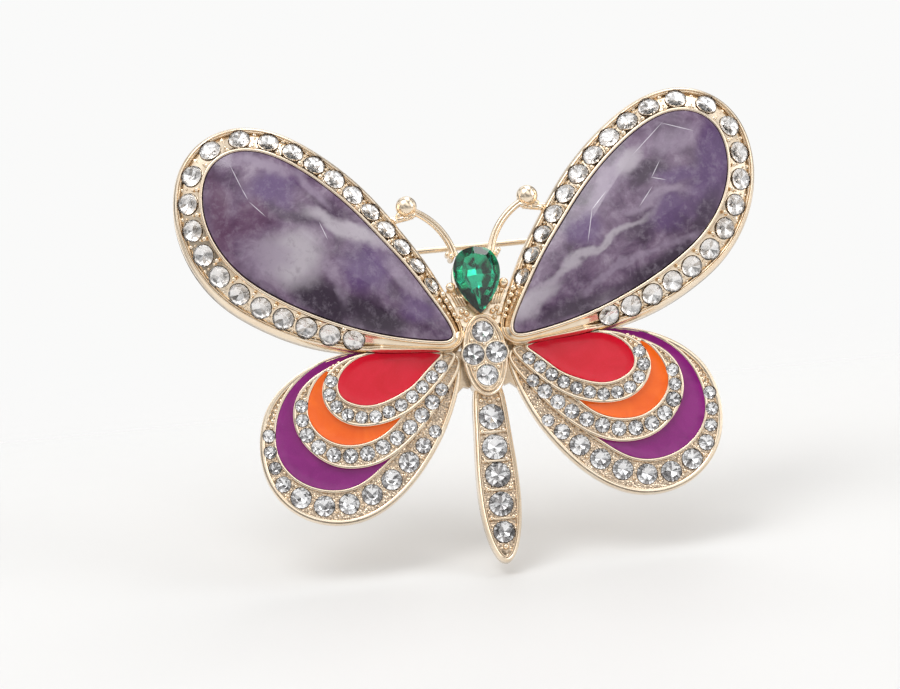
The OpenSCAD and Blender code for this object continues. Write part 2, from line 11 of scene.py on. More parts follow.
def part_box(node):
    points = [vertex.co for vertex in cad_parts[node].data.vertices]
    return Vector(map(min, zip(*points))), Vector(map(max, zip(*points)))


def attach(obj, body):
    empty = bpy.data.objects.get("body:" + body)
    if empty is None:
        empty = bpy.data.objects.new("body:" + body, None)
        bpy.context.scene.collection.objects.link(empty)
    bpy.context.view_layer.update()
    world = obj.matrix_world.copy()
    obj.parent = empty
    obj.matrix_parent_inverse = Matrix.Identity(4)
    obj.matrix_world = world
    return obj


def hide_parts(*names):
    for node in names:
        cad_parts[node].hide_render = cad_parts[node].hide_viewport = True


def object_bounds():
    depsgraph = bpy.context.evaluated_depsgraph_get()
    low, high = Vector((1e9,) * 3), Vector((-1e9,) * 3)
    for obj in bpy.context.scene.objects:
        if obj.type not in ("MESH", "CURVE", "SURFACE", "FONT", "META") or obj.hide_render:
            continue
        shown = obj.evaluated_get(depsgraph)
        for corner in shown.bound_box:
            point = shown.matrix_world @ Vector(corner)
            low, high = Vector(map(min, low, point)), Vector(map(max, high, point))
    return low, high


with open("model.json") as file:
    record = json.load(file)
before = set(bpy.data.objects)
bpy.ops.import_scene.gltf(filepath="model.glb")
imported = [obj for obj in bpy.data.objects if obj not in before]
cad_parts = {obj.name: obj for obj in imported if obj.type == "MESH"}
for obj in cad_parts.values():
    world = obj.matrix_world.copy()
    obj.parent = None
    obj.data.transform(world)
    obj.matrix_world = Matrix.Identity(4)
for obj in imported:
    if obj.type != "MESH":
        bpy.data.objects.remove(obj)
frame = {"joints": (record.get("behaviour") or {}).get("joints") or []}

cad_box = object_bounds()
rng = np.random.default_rng(7)

# ---- sizes shared with the CAD model ----

MM = 0.001
BACK_GAP = -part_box("thorax_casting")[1].y / MM  # from the castings' backs to the pin's axis
PIN_LEVEL = 0.8  # height of the pin in the face plane
HINGE_X = -frame["joints"][0]["pos_m"][0] / MM
CATCH_X = frame["joints"][1]["pos_m"][0] / MM
RIM_Z, BEZEL_Z, TRAY_Z, AMETHYST_Z = 2.5, 3.9, 0.9, 5.4  # heights above the castings' back
OUTER_FLOOR, TIER_STEP, WALL_H, WALL_W = 1.05, 0.42, 0.34, 0.34
MIDDLE_FLOOR = OUTER_FLOOR + TIER_STEP
INNER_FLOOR = MIDDLE_FLOOR + TIER_STEP
ENAMEL_H = 0.26
THORAX_Z, ABDOMEN_Z, EMERALD_Z = 3.2, 2.4, 4.0
ABDOMEN_FLOOR = ABDOMEN_Z - 0.3
CHANNEL_IN = 0.5
CHANNEL_IN_Z, CHANNEL_OUT_Z = BEZEL_Z - 0.4, RIM_Z - 0.35
UPPER_STONES, UPPER_STONE_D, LAST_STONE_D = 23, 2.45, 2.0
BORDER_START, BORDER_END = 0.149, 0.923  # where the border's stones begin and end, along the outline

# Amethyst outline from its inner point, with the width of the border outside it
AMETHYST = [
    [2.6, -11.2, 1.6], [5, -11.1, 0.9], [11.4, -9.8, 2], [17.7, -7.2, 3.35], [22.7, -4.3, 3.6],
    [26.8, -1, 3.8], [29.7, 4.5, 3.4], [29.1, 10.6, 3.3], [25, 12.9, 3.3], [19.9, 11.1, 3.2],
    [13.9, 5.8, 3.15], [10.4, 1.1, 2.85], [7.7, -2.4, 2.5], [5.6, -6, 2.2],
]
RED = [
    [4.8, -12.4], [5.8, -13.2], [7.3, -14.6], [8.5, -15.8], [12.5, -17.5], [15, -17],
    [16.7, -15.8], [16.4, -13.5], [14.1, -11.7], [11.2, -11.4], [7.7, -11.7], [5, -12.3],
]
INNER = [
    [2.7, -12.4], [4.4, -14.6], [7.5, -17.7], [10.2, -19.1], [12.9, -19.7], [16.2, -19.4],
    [18.7, -16.6], [18.1, -13.5], [15.7, -11.7], [12.3, -11.2], [8.1, -11.2], [3.9, -12],
]
ORANGE = [
    [5, -13], [6.4, -14.8], [8.6, -17.2], [10.2, -19.2], [12.7, -21.3], [17.4, -21.7],
    [20.75, -18.2], [19.35, -14.2], [17.1, -12.35], [14, -12], [10, -12.4], [6, -12.4],
]
MIDDLE = [
    [1.9, -13], [4.8, -17], [8.2, -21.1], [11.9, -23.6], [14.7, -24.2], [18.5, -23.8],
    [22.2, -19.7], [21.6, -15.1], [18.3, -12.7], [13.6, -11.2], [8.3, -11.1], [3.8, -12],
]
PURPLE = [
    [4, -13.6], [7, -18.2], [9.8, -21.8], [12.2, -23.7], [15.6, -26.5], [20.7, -26],
    [24.7, -22.1], [23.1, -14.9], [17.5, -11.3], [14, -11], [9.6, -12], [5, -12.6],
]
OUTER = [
    [2.1, -13.3], [4.3, -19.6], [6.8, -23.5], [10.2, -27.5], [15.5, -30.6], [22, -29.5],
    [26.2, -24.4], [25.6, -16.5], [20.9, -12.5], [15.9, -10.9], [9.2, -10.3], [3.4, -11.8],
]
ABDOMEN_HALF = [[1.1, -15.4], [1.85, -17], [2, -21], [2.4, -26], [2.35, -30.5], [1.7, -34], [0.7, -36.1]]
PEAR_HALF = [[1.05, -0.95], [2.3, -1.9], [2.8, -4], [2.05, -6.1], [0.95, -7.5], [0.1, -8.5]]
PEAR_MID = np.array([0, -4.1])
PEAR_LOW, PEAR_TABLE, PEAR_GIRDLE = -1.6, 0.85, 0.07
PEAR_CROWN_SLOPE, PEAR_BACK_SLOPE = 38, 27  # degrees from flat
WEB = [[1, -12], [3.6, -12], [3.3, -16.6], [2.6, -16], [2, -16.2], [1, -15]]
FLANK_EDGE = [[1.5, -5], [0.2, -7.6], [0.4, -9.8], [2.6, -9.6], [3.5, -6.5], [3.7, -4.9]]
INNER_PATH = [
    [4.9, -13.7], [7.2, -15.75], [9.8, -17.55], [12.9, -18.55], [16, -17.9], [17.5, -15.7], [17.2, -14.1],
]
MIDDLE_PATH = [
    [5.1, -16.2], [7.5, -18.75], [10.6, -21.1], [14.2, -22.5], [18.1, -22.1], [20.6, -19.5], [20.7, -16.5],
]
OUTER_PATH = [
    [6.3, -20.7], [9.5, -23.8], [13.8, -26.95], [18.9, -27.85], [23.3, -25.3], [24.65, -21.2], [24.6, -19.4],
]
INNER_SIZES = [1.4] * 12
MIDDLE_SIZES = [1.4] + [1.65] * 10 + [1.4] * 2
OUTER_SIZES = [1.4, 1.75] + [2.3] * 6 + [1.75] + [1.4] * 3
THORAX_STONES = [[0, -10.45, 2.35], [-1.28, -12.9, 2.35], [1.28, -12.9, 2.35], [0, -15.35, 2.35]]
ABDOMEN_STONES = [[0, -19.84, 2.8], [0, -23.25, 2.8], [0, -26.35, 2.8], [0, -29.6, 2.7], [0, -32.7, 2.4]]
UPPER_BACK, LOWER_BACK = 0.13, 0.165  # depth of a stone's foiled back, as a share of its diameter
UPPER_DARK_FACETS, LOWER_DARK_FACETS = 0.12, 0.28  # share of a stone's foil facets with darker foil, as painted dark reflections
STONE_LIFT = 0.12  # a girdle's height above the metal round it
LEAN = 0.05  # radians that a hand-set stone may lean by
SEAT_GAP, SEAT_DEPTH, UPPER_SEAT_DEPTH = 0.05, 0.55, 0.9
THORAX_MID, THORAX_HALF = np.array([0, -13.02]), np.array([2.5, 4.66])
THORAX_JOIN = 0.06  # how far the castings beside the thorax reach into it
UNDER, OVER = -1, 9  # heights past both faces of every casting


# ---- curves ----

def closed_curve(controls, steps=18):
    """Closed uniform cubic B-spline."""
    p = np.array(controls, float)
    t = (np.arange(steps) / steps)[:, None]
    runs = []
    for i in range(len(p)):
        a, b, c, d = p[i - 1], p[i], p[(i + 1) % len(p)], p[(i + 2) % len(p)]
        late = 3 * t + 3 * t**2 - 3 * t**3 + 1
        runs.append(((1 - t)**3 * a + (3 * t**3 - 6 * t**2 + 4) * b + late * c + t**3 * d) / 6)
    return np.vstack(runs)


def open_curve(points, steps=16):
    """Catmull-Rom curve through every point."""
    p = np.array(points, float)
    q = np.vstack([2 * p[0] - p[1], p, 2 * p[-1] - p[-2]])
    t = (np.arange(steps) / steps)[:, None]
    runs = []
    for i in range(len(p) - 1):
        a, b, c, d = q[i:i + 4]
        late = (3 * b - a - 3 * c + d) * t**3
        runs.append((2 * b + (c - a) * t + (2 * a - 5 * b + 4 * c - d) * t**2 + late) / 2)
    return np.vstack(runs + [p[-1:]])


def normals(line):
    d = np.roll(line, -1, 0) - np.roll(line, 1, 0)
    return np.stack([d[:, 1], -d[:, 0]], 1) / np.linalg.norm(d[:, ::-1], axis=1)[:, None]


def grown(line, by):
    """The outline moved outwards, by one distance or by one for each point."""
    return line + np.reshape(by, (-1, 1)) * normals(line)


def lengths(path):
    return np.r_[0, np.cumsum(np.linalg.norm(np.diff(path, axis=0), axis=1))]


def at_length(path, where):
    run = lengths(path[:, :2])
    return np.stack([np.interp(where, run, path[:, k]) for k in range(path.shape[1])], 1)


def stone_row(points, sizes):
    """Stones side by side along a path, with one even gap: [x, y, diameter]."""
    path = open_curve(points)
    between = (np.array(sizes[:-1]) + sizes[1:]) / 2
    gap = (lengths(path)[-1] - between.sum()) / len(between)
    where = np.r_[0, np.cumsum(between + gap)]
    return np.c_[at_length(path, where), sizes]


def circle(count):
    a = np.arange(count) * math.tau / count
    return np.stack([np.cos(a), np.sin(a)], 1)


def closed_lengths(line):
    return lengths(np.vstack([line, line[:1]]))


def mirrored(half):
    return [*half[::-1], *[[-x, y] for x, y in half]]


amethyst_wide = closed_curve(AMETHYST, 24)
amethyst_line = amethyst_wide[:, :2]
border_w = amethyst_wide[:, 2]
upper_line = grown(amethyst_line, border_w)
red_line, inner_line, orange_line = closed_curve(RED), closed_curve(INNER), closed_curve(ORANGE)
middle_line, purple_line, outer_line = closed_curve(MIDDLE), closed_curve(PURPLE), closed_curve(OUTER)
abdomen_line = closed_curve(mirrored(ABDOMEN_HALF), 12)
pear_line = closed_curve(mirrored(PEAR_HALF), 12)


def about_pear(scale):
    return PEAR_MID + scale * (pear_line - PEAR_MID)


def oval(inset):
    """The thorax's outline, moved in."""
    return THORAX_MID + (THORAX_HALF - inset) * circle(120)


def upper_row():
    """The border's stones: [x, y, outward angle, tilt, diameter]."""
    n = normals(amethyst_line)
    middle = amethyst_line + ((CHANNEL_IN + border_w - 0.45) / 2)[:, None] * n
    ring = np.c_[middle, border_w, n]
    run = closed_lengths(amethyst_line)
    f = np.linspace(0, 1, UPPER_STONES)
    where = run[-1] * (BORDER_START + f * (BORDER_END - BORDER_START))
    found = np.stack([np.interp(where, run[:-1], ring[:, k]) for k in range(5)], 1)
    angle = np.arctan2(found[:, 4], found[:, 3])
    tilt = np.arctan2(CHANNEL_IN_Z - CHANNEL_OUT_Z, found[:, 2] - CHANNEL_IN - 0.6)
    size = np.interp(f, [0.75, 1], [UPPER_STONE_D, LAST_STONE_D])
    return np.c_[found[:, :2], angle, tilt, size]


# ---- meshes ----

def inside(points, line):
    """Which points lie inside an outline."""
    x, y = points[:, 0], points[:, 1]
    found = np.zeros(len(points), bool)
    for (x0, y0), (x1, y1) in zip(line, np.roll(line, -1, 0)):
        if y0 != y1:
            crosses = ((y0 > y) != (y1 > y)) & (x < (x1 - x0) * (y - y0) / (y1 - y0) + x0)
            found ^= crosses
    return found


def edge_distance(points, line):
    a, b = line, np.roll(line, -1, 0)
    d = b - a
    best = np.full(len(points), 1e9)
    for k in range(len(a)):
        t = np.clip(((points - a[k]) @ d[k]) / max(d[k] @ d[k], 1e-12), 0, 1)
        best = np.minimum(best, np.linalg.norm(points - a[k] - t[:, None] * d[k], axis=1))
    return best


def ring_at(line, z):
    return np.c_[line, np.broadcast_to(z, len(line))]


def stepped(line, steps):
    """Rings of an outline, each moved in and set at a height."""
    return [ring_at(grown(line, -inset), z) for inset, z in steps]


class Shape:
    """Closed solids in millimetres, gathered before they become one piece."""

    def __init__(self, on_face=True):
        self.points, self.faces, self.slots, self.count = [], [], [], 0
        self.on_face = on_face

    def add(self, points, faces, slot=0):
        self.points.append(np.asarray(points, float))
        self.faces += [[i + self.count for i in f] for f in faces]
        self.slots += [slot] * len(faces) if np.isscalar(slot) else list(slot)
        self.count += len(points)
        return self

    def loft(self, rings, slots=0, capped=True):
        """A skin over rings listed from the bottom up, or round and back to the first if it isn't capped."""
        rings = np.array(rings)
        m, n = rings.shape[:2]
        last = m - 1 if capped else m
        i = np.arange(n)
        j = (i + 1) % n
        faces, kinds = [], []
        for k in range(last):
            low, high = k * n, (k + 1) % m * n
            faces += np.stack([low + i, low + j, high + j, high + i], 1).tolist()
            kinds += [slots if np.isscalar(slots) else slots[k]] * n
        if capped:
            faces += [list(range(n))[::-1], list(range((m - 1) * n, m * n))]
            kinds += [kinds[0], kinds[-1]]
        return self.add(rings.reshape(-1, 3), faces, kinds)

    def prism(self, line, z0, z1, slot=0):
        return self.loft([ring_at(line, z0), ring_at(line, z1)], slot)

    def ridge(self, line, width, z0, z1, bevel=0.08):
        """A thin wall just inside an outline, with a rounded top."""
        soft = 0.3 * bevel
        steps = [(0, z0), (0, z1 - bevel), (soft, z1 - soft), (bevel, z1), (width - bevel, z1),
                 (width - soft, z1 - soft), (width, z1 - bevel), (width, z0)]
        return self.loft(stepped(line, steps), capped=False)

    def floor(self, line, z0, z1, spacing, height, slot=0):
        """A slab whose top is a fine net of points, lifted by height(points, distance from the edge)."""
        low, high = line.min(0), line.max(0)
        gx, gy = np.meshgrid(np.arange(low[0], high[0], spacing), np.arange(low[1], high[1], spacing * 0.866))
        gx = gx + (np.arange(len(gx)) % 2)[:, None] * spacing / 2
        grid = np.stack([gx.ravel(), gy.ravel()], 1)
        grid = grid[inside(grid, line)]
        away = edge_distance(grid, line)
        grid, away = grid[away > 0.4 * spacing], away[away > 0.4 * spacing]
        flat = np.vstack([line, grid])
        n = len(line)
        found = delaunay_2d_cdt([Vector(p) for p in flat], [], [list(range(n))], 1, 1e-7)
        top = np.array([[p.x, p.y] for p in found[0]])
        place = {old: new for new, olds in enumerate(found[3]) for old in olds}
        edge = [place[i] for i in range(n)]
        reach = np.zeros(len(top))
        for old, new in place.items():
            reach[new] = 0 if old < n else away[old - n]
        z = z1 + height(top, reach)
        base = len(top)
        points = np.vstack([np.c_[top, z], ring_at(line, z0)])
        faces = [list(f) for f in found[2]]
        kinds = [slot] * len(faces)
        for i in range(n):
            j = (i + 1) % n
            faces.append([base + i, base + j, edge[j], edge[i]])
        faces.append([base + i for i in range(n)][::-1])
        kinds += [0] * (n + 1)
        return self.add(points, faces, kinds)

    def ball(self, at, r, detail=8):
        """A small sphere of rings, with its poles along z."""
        rings = []
        for t in np.arange(1, detail) * math.pi / detail:
            rings.append(np.array(at) + r * ring_at(circle(2 * detail) * math.sin(t), -math.cos(t)))
        return self.loft(rings)

    def post(self, x, y, z0, z1, r):
        """An upright round bar with a domed top."""
        steps = [(z0, 1)] + [(z1 - r * (1 - math.sin(t)), math.cos(t)) for t in np.radians([0, 25, 50, 72])]
        return self.loft([ring_at([x, y] + r * f * circle(20), z) for z, f in steps])

    def tube(self, path, radius, sides=16, groove=0.0):
        """A round bar along a path, with an optional groove along its front."""
        path = np.array(path, float)
        along = np.gradient(path, axis=0)
        along /= np.linalg.norm(along, axis=1)[:, None]
        across = np.cross(along, [0, 0, 1.0])
        across /= np.linalg.norm(across, axis=1)[:, None]
        up = np.cross(across, along)
        a = np.arange(sides) * math.tau / sides
        radius = np.broadcast_to(radius, len(path))
        rings = []
        for p, r, u, v in zip(path, radius, across, up):
            dip = r * (1 - groove * np.exp(-((a - math.pi / 2) / 0.22)**2))
            rings.append(p + dip[:, None] * (np.cos(a)[:, None] * u + np.sin(a)[:, None] * v))
        return self.loft(rings[::-1] if np.cross(across[0], up[0]) @ along[0] < 0 else rings)

    def placed(self, matrix):
        """The same shape moved by a 4 x 4 matrix."""
        m = np.array(matrix)
        self.points = [p @ m[:3, :3].T + m[:3, 3] for p in self.points]
        return self

    def join(self, other):
        self.points += other.points
        self.faces += [[i + self.count for i in f] for f in other.faces]
        self.slots += other.slots
        self.count += other.count
        return self

    def build(self, side=1, materials=(), smooth=50):
        """The Blender object. side -1 mirrors it; edges over smooth degrees stay sharp."""
        p = np.vstack(self.points) * [side, 1, 1]
        if self.on_face:
            p = np.stack([p[:, 0], -(p[:, 2] + BACK_GAP), p[:, 1] - PIN_LEVEL], 1)
        faces = self.faces if side > 0 else [f[::-1] for f in self.faces]
        mesh = bpy.data.meshes.new("piece")
        mesh.from_pydata((p * MM).tolist(), [], faces)
        mesh.polygons.foreach_set("material_index", self.slots)
        return placed_mesh(mesh, materials or METALS, smooth)


def placed_mesh(mesh, materials, smooth):
    for m in materials:
        mesh.materials.append(m)
    piece = bpy.data.objects.new(mesh.name, mesh)
    bpy.context.scene.collection.objects.link(piece)
    shade(piece, smooth)
    return piece


def shade(piece, smooth):
    mesh = piece.data
    mesh.polygons.foreach_set("use_smooth", [smooth > 0] * len(mesh.polygons))
    if smooth > 0:
        mesh.set_sharp_from_angle(angle=math.radians(smooth))
    mesh.update()


def carve(piece, shape, side=1, operation="DIFFERENCE"):
    """Cuts a solid out of a piece, or joins it on."""
    tool = shape.build(side, list(piece.data.materials))
    step = piece.modifiers.new("carve", "BOOLEAN")
    step.operation, step.solver, step.object = operation, "MANIFOLD", tool
    graph = bpy.context.evaluated_depsgraph_get()
    mesh = bpy.data.meshes.new_from_object(piece.evaluated_get(graph))
    piece.modifiers.clear()
    piece.data = mesh
    bpy.data.objects.remove(tool)
    shade(piece, 50)


def weld(piece, shape, side=1):
    carve(piece, shape, side, "UNION")


def trim(piece, line, side=1):
    """Cuts away all of a piece that lies inside an outline."""
    carve(piece, Shape().prism(line, UNDER, OVER), side)


def settle(piece, node, body="brooch"):
    """Names a piece after the CAD node that it stands for, hides that node and puts the piece in its body."""
    piece.name = f"{node}_visual"
    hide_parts(node)
    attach(piece, body)


# ---- materials ----

class Tree:
    """A short way to write nodes."""

    def __init__(self, tree):
        self.tree = tree

    def feed(self, socket, value):
        """Links a socket, or gives it a constant."""
        if isinstance(value, bpy.types.NodeSocket):
            self.tree.links.new(value, socket)
        else:
            socket.default_value = value

    def node(self, kind, inputs=(), **settings):
        n = self.tree.nodes.new("ShaderNode" + kind)
        for k, v in settings.items():
            setattr(n, k, v)
        for k, v in dict(inputs).items():
            self.feed(n.inputs[k], v)
        return n

    def noise(self, scale, detail=3.0, rough=0.55, warp=0.0, vector=None, output="Fac"):
        n = self.node("TexNoise", {"Vector": vector or self.mm, "Scale": scale, "Detail": detail})
        n.inputs["Roughness"].default_value, n.inputs["Distortion"].default_value = rough, warp
        return n.outputs[output]

    def ramp(self, fac, stops):
        """Colours, or levels of grey, at places along a range."""
        n = self.node("ValToRGB", {"Fac": fac})
        while len(n.color_ramp.elements) < len(stops):
            n.color_ramp.elements.new(0.5)
        for e, (at, colour) in zip(n.color_ramp.elements, stops):
            e.position = at
            e.color = (*colour, 1) if isinstance(colour, tuple) else (colour, colour, colour, 1)
        return n.outputs["Color"]

    def span(self, fac, low, high, start=0.0, end=1.0, ease="LINEAR"):
        """Maps a value to a range."""
        limits = {"From Min": start, "From Max": end, "To Min": low, "To Max": high}
        return self.node("MapRange", {"Value": fac, **limits}, interpolation_type=ease).outputs["Result"]

    def mix(self, fac, a, b, blend="MIX"):
        n = self.node("Mix", data_type="RGBA", blend_type=blend)
        for k, value in ((0, fac), (6, a), (7, b)):
            self.feed(n.inputs[k], (*value, 1) if isinstance(value, tuple) else value)
        return n.outputs[2]

    def patches(self, scale, detail, a, b):
        """Two colours in soft patches."""
        return self.mix(self.span(self.noise(scale, detail), 0, 1, 0.35, 0.65), a, b)

    def bump(self, height, strength, depth_mm, base=None):
        n = self.node("Bump", {"Height": height, "Strength": strength, "Distance": depth_mm * MM})
        if base is not None:
            self.feed(n.inputs["Normal"], base)
        return n.outputs["Normal"]


class Finish(Tree):
    """A material's nodes, with its textures measured in millimetres of the object."""

    def __init__(self, name, **values):
        self.material = bpy.data.materials.new(name)
        self.material.use_nodes = True
        super().__init__(self.material.node_tree)
        self.shader = self.tree.nodes["Principled BSDF"]
        place = self.node("TexCoord").outputs["Object"]
        self.mm = self.node("Mapping", {"Vector": place, "Scale": (1 / MM,) * 3}).outputs["Vector"]
        self.set(**values)

    def set(self, **sockets):
        for socket, value in sockets.items():
            self.feed(self.shader.inputs[socket.replace("_", " ")], value)
        return self.material


def gold_material(name, light, deep, rough, grain=0.0, grain_mm=0.25, grain_shade=0.75):
    """Pale gold plate with a soft cast surface; painted shade makes it darker and pinker in its hollows and
    between its grains.
    """
    n = Finish(name, Metallic=1.0)
    hollow_shade = n.node("NewGeometry").outputs["Pointiness"]
    tone = n.mix(n.span(n.noise(0.35, 3), 0, 0.5, 0.35, 0.7), light, deep)
    # Painted shade: a darker deep gold where the surface is hollow.
    tone = n.mix(n.span(hollow_shade, 0.85, 0.0, 0.43, 0.51), tone, tuple(0.55 * c for c in deep))
    normal = n.bump(n.noise(5.0, 4), 0.12, 0.05)
    if grain:
        cells = {"Vector": n.mm, "Scale": 1 / grain_mm, "Randomness": 1.0}
        voronoi = n.node("TexVoronoi", cells, feature="SMOOTH_F1")
        voronoi.inputs["Smoothness"].default_value = 0.3
        away = voronoi.outputs["Distance"]
        normal = n.bump(n.span(away, 1, 0, 0, 0.7), grain, 0.12, normal)
        # Painted shade: darker in the gaps between the grains.
        tone = n.mix(n.span(away, 0, grain_shade, 0.25, 0.65), tone, tuple(0.5 * c for c in deep))
    worn = n.span(n.noise(1.3, 4), rough * 0.7, rough * 1.5, 0.3, 0.7)
    return n.set(Base_Color=tone, Roughness=worn, Normal=normal)


gold = gold_material("pale_gold", (0.96, 0.82, 0.645), (0.90, 0.68, 0.46), 0.17)
grain_gold = gold_material("grained_gold", (0.95, 0.80, 0.63), (0.88, 0.65, 0.45), 0.22, grain=0.7)
back_gold = gold_material("back_gold", (0.93, 0.80, 0.63), (0.86, 0.66, 0.47), 0.28, 0.12, 0.5, 0.12)
pin_gold = gold_material("wire_gold", (0.94, 0.80, 0.62), (0.84, 0.63, 0.44), 0.14)
METALS = [gold, grain_gold, back_gold]


def crystal_material():
    n = Finish("crystal", Transmission_Weight=1.0, IOR=1.56, Roughness=0.0, Base_Color=(0.97, 0.98, 1.0, 1))
    return n.set(Roughness=n.span(n.noise(2.2, 3), 0.0, 0.05, 0.45, 0.75))


def foil_material(name, light, deep, rough=0.02, spread=0.1, size=1.1):
    """The mirror foil on a stone's back."""
    n = Finish(name, Metallic=1.0)
    n.set(Roughness=n.span(n.noise(3, 2), rough, rough + spread))
    return n.set(Base_Color=n.patches(size, 2, light, deep))


crystal = crystal_material()
foil = foil_material("foil", (0.98, 0.97, 0.96), (0.90, 0.89, 0.88))
# Darker foil for some facets of the lower stones: painted dark reflections.
dark_reflection_foil = foil_material("dark_reflection_foil", (0.42, 0.40, 0.39), (0.26, 0.25, 0.25))
soft_foil = foil_material("soft_foil", (0.99, 0.97, 0.95), (0.93, 0.89, 0.85), 0.08)
# Dimmer foil for some facets of the border stones: painted dark reflections.
dim_reflection_foil = foil_material("dim_reflection_foil", (0.66, 0.61, 0.56), (0.50, 0.45, 0.40), 0.08)


def emerald_material():
    n = Finish("emerald_glass", Transmission_Weight=1.0, IOR=1.58)
    tone = n.patches(0.5, 2, (0.014, 0.58, 0.36), (0.006, 0.45, 0.27))
    return n.set(Base_Color=tone, Roughness=n.span(n.noise(2.0, 2), 0.0, 0.03, 0.4, 0.8))


emerald_glass = emerald_material()
emerald_foil = foil_material("emerald_foil", (0.80, 0.98, 0.88), (0.55, 0.85, 0.70), 0.04, 0.09, 0.9)


def enamel_material(name, colour, deep, shine):
    """Poured enamel: even colour with a faint pearl swirl, under a glossy top."""
    n = Finish(name, IOR=1.45)
    swirl = n.noise(0.35, 4, warp=1.2)
    tone = n.mix(n.span(swirl, 0, 1, 0.35, 0.65), colour, deep)
    tone = n.mix(n.span(n.noise(9.0, 1), 0, 0.25, 0.62, 0.8), tone, shine)
    waves = n.bump(n.noise(0.7, 2), 0.10, 0.05)
    return n.set(Base_Color=tone, Roughness=n.span(swirl, 0.10, 0.18), Normal=waves)


# Each fill's outline, the tiers that it ends against, its floor and its finish
ENAMELS = {
    "red_enamel": (red_line, [upper_line], INNER_FLOOR, enamel_material(
        "red_enamel", (0.72, 0.004, 0.026), (0.66, 0.002, 0.018), (0.85, 0.06, 0.12))),
    "orange_enamel": (orange_line, [upper_line, inner_line], MIDDLE_FLOOR, enamel_material(
        "orange_enamel", (0.98, 0.155, 0.008), (0.92, 0.125, 0.005), (1.0, 0.35, 0.1))),
    "purple_enamel": (purple_line, [upper_line, middle_line], OUTER_FLOOR, enamel_material(
        "purple_enamel", (0.27, 0.014, 0.20), (0.22, 0.008, 0.165), (0.42, 0.08, 0.36))),
}


MILK, GREY_LILAC, VIOLET = (0.49, 0.44, 0.49), (0.31, 0.24, 0.33), (0.115, 0.058, 0.175)
# The last colour on the next line is a painted highlight for facet edges.
DARK, PLUM, EDGE_GLINT = (0.028, 0.013, 0.032), (0.125, 0.05, 0.105), (0.85, 0.80, 0.88)
DEEP = 60  # mm that a cloud reaches into the stone, far more than its thickness
# Clouds in each stone: (x, y, half length, half width, turn in degrees, strength, colour)
CLOUDS = {
    1: [
        (27.3, 5.8, 2.2, 5.5, -20, 0.7, VIOLET), (21.8, -5.2, 7.5, 1.6, 27, 0.95, DARK),
        (11, -8.6, 5, 0.9, 12, 0.7, DARK), (20.2, 5.4, 2, 1.2, 40, 0.8, DARK),
        (23, 4.6, 2.4, 1.1, 20, 0.7, VIOLET), (22.2, 0.6, 2.8, 1.8, 20, 0.7, VIOLET),
        (26.6, 0.6, 1.2, 3.4, -20, 0.7, DARK), (12.4, -0.4, 2.2, 1.7, 40, 0.75, VIOLET),
        (18.2, -1, 2, 1, 20, 0.4, DARK), (16.8, 5.2, 1.2, 3.8, -42, 0.8, GREY_LILAC),
        (18.6, 6.8, 1, 1.9, -30, 0.75, MILK), (13.4, -2.7, 7.4, 0.5, 30, 0.75, MILK),
        (16.2, -4.9, 5.6, 0.45, 27, 0.7, GREY_LILAC), (20.6, 2.4, 3.8, 0.55, 12, 0.8, GREY_LILAC),
        (6.2, -8.2, 3.2, 1.1, 40, 0.75, MILK), (23.6, 9, 3, 1.2, 10, 0.6, GREY_LILAC),
        (14.5, 2.6, 2.4, 1.1, 35, 0.6, GREY_LILAC), (22.8, -2.6, 3, 0.5, 15, 0.5, GREY_LILAC),
    ],
    -1: [
        (-21.6, 7.4, 3.2, 1.9, 10, 0.85, VIOLET), (-27.6, 4.6, 1.6, 5, 12, 0.75, PLUM),
        (-17.2, -5.6, 4.6, 1.9, -32, 0.98, DARK), (-11.6, -7.6, 4.4, 1.5, -20, 0.95, DARK),
        (-24.4, -3.8, 4.4, 0.8, -48, 0.6, DARK), (-24.2, 4.4, 2.2, 1.6, 20, 0.6, PLUM),
        (-12.3, -2.4, 2.6, 3, 30, 0.8, VIOLET), (-19.6, 4.6, 2.8, 0.7, -15, 0.6, DARK),
        (-14.8, 4.8, 3.2, 1, -40, 0.6, DARK), (-20, -0.4, 3.3, 3.3, 35, 1, MILK),
        (-22.8, -0.6, 2.6, 2.2, 12, 0.6, GREY_LILAC), (-13.6, 2.2, 4.8, 0.9, -32, 0.85, MILK),
        (-22.6, 10.2, 4, 0.8, -12, 0.85, GREY_LILAC), (-16.8, 7.2, 3, 0.6, -48, 0.8, GREY_LILAC),
        (-6.6, -7.4, 2.6, 1.3, -45, 0.6, VIOLET), (-16, -3, 0.7, 3.2, 10, 0.5, GREY_LILAC),
        (-8.5, -3.6, 2.6, 0.8, -48, 0.6, GREY_LILAC),
    ],
}
# Painted highlights along polished facet edges: (x0, y0, x1, y1)
GLINT_LINES = {
    1: [
        (18.9, 7.7, 22.5, 11), (22.5, 11, 25.8, 9.7), (20.5, 4.7, 21.6, 6.5), (20.5, 4.7, 22, 4.3),
        (18.8, 1.6, 20.4, 3.6), (12.6, -1.8, 13.5, 1.8), (13.5, 1.8, 15.2, 3.6),
    ],
    -1: [
        (-24.9, 7.8, -24.4, 6.6), (-24.2, 6.2, -22.7, 4.5), (-16.8, 3.2, -16.1, 1.2),
        (-25.9, 10.6, -24.9, 7.8),
    ],
}


